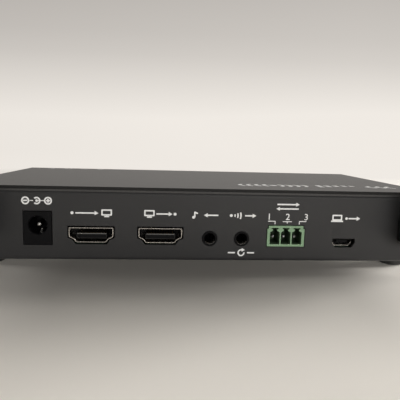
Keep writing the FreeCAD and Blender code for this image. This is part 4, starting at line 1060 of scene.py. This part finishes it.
both = place.node("MixShader", {}, {0: beyond * (to_camera + to_mirrors), 1: paper, 2: glow})
surface = place.tree.nodes["Material Output"].inputs["Surface"]
place.tree.links.new(both.socket, surface)
backdrop.data.materials.append(finishes["backdrop_paper"])
print("the glow starts this far out, in metres:", GLOW_STARTS)
# %% [markdown]
# ## Light
# The light in the photograph comes low from the right, less from the left, and softly from the front: the
# floor is bright beside the box, the shadow deepest under its middle and the socket wall dim. The lid,
# almost edge on, shows the pale room behind it. Mirrors show only two of the lamps: a small weak one in
# front puts the glints on pins and shells, and one high behind adds the sheen.
# %% Hang the lamps
MIDDLE = Vector((0.0, 0.0, 0.02))
WARM = (1.0, 0.985, 0.96)


def soft_lamp(name, spot, width, height, power, mirrored=False):
    """A rectangular lamp turned to the object, in metres and watts. The camera doesn't see it."""
    data = bpy.data.lights.new(name, "AREA")
    data.shape = "RECTANGLE"
    data.size, data.size_y = width, height
    data.energy, data.color = power, WARM
    lamp = placed(name, data)
    spot = Vector(spot)
    facing = (MIDDLE - spot).to_track_quat("-Z", "Y").to_matrix().to_4x4()
    lamp.matrix_world = Matrix.Translation(spot) @ facing
    lamp.visible_camera, lamp.visible_glossy = False, mirrored


soft_lamp("window", (0.6, 1.1, 0.42), 1.4, 0.6, 1.5)
soft_lamp("right_wide", (1.25, 0.40, 0.20), 0.4, 0.3, 35.0)
soft_lamp("right_low", (1.3, 0.09, 0.16), 0.16, 0.16, 23.0)
soft_lamp("left_wide", (-1.25, 0.32, 0.14), 0.3, 0.2, 6.5)
soft_lamp("left_low", (-1.3, 0.09, 0.16), 0.16, 0.16, 4.4)
soft_lamp("front_wide", (0.25, -1.2, 0.17), 0.7, 0.25, 11.0)
soft_lamp("front_glint", (0.28, -1.2, 0.20), 0.3, 0.2, 1.0, mirrored=True)
soft_lamp("sheen", (0.2, 0.9, 1.2), 0.9, 0.6, 2.2, mirrored=True)
SKY_LIGHT, SKY_SEEN, SKY_MIRRORED = 0.02, 0.81, 0.28
SKY_COLOUR = (1.0, 0.949, 0.887, 1.0)
world = bpy.data.worlds.new("sky")
world.use_nodes = True
sky = Link(world.node_tree)
to_camera, to_mirrors = eye_rays(sky)
strength = to_camera * SKY_SEEN + to_mirrors * SKY_MIRRORED + SKY_LIGHT
backing = world.node_tree.nodes["Background"]
backing.inputs["Color"].default_value = SKY_COLOUR
world.node_tree.links.new(strength.socket, backing.inputs["Strength"])
bpy.context.scene.world = world
bpy.context.scene.view_settings.view_transform = "Standard"
# %% [markdown]
# ## Size
# The dressed object must stay in the frame's own box, so both boxes are written down.
# %% Write the sizes
bpy.context.view_layer.update()
dressed_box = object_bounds()
boxes = {"cad": cad_box, "dressed": dressed_box}
for name, (low, high) in boxes.items():
    print(name, [round(n / MM, 2) for n in (*low, *high)])
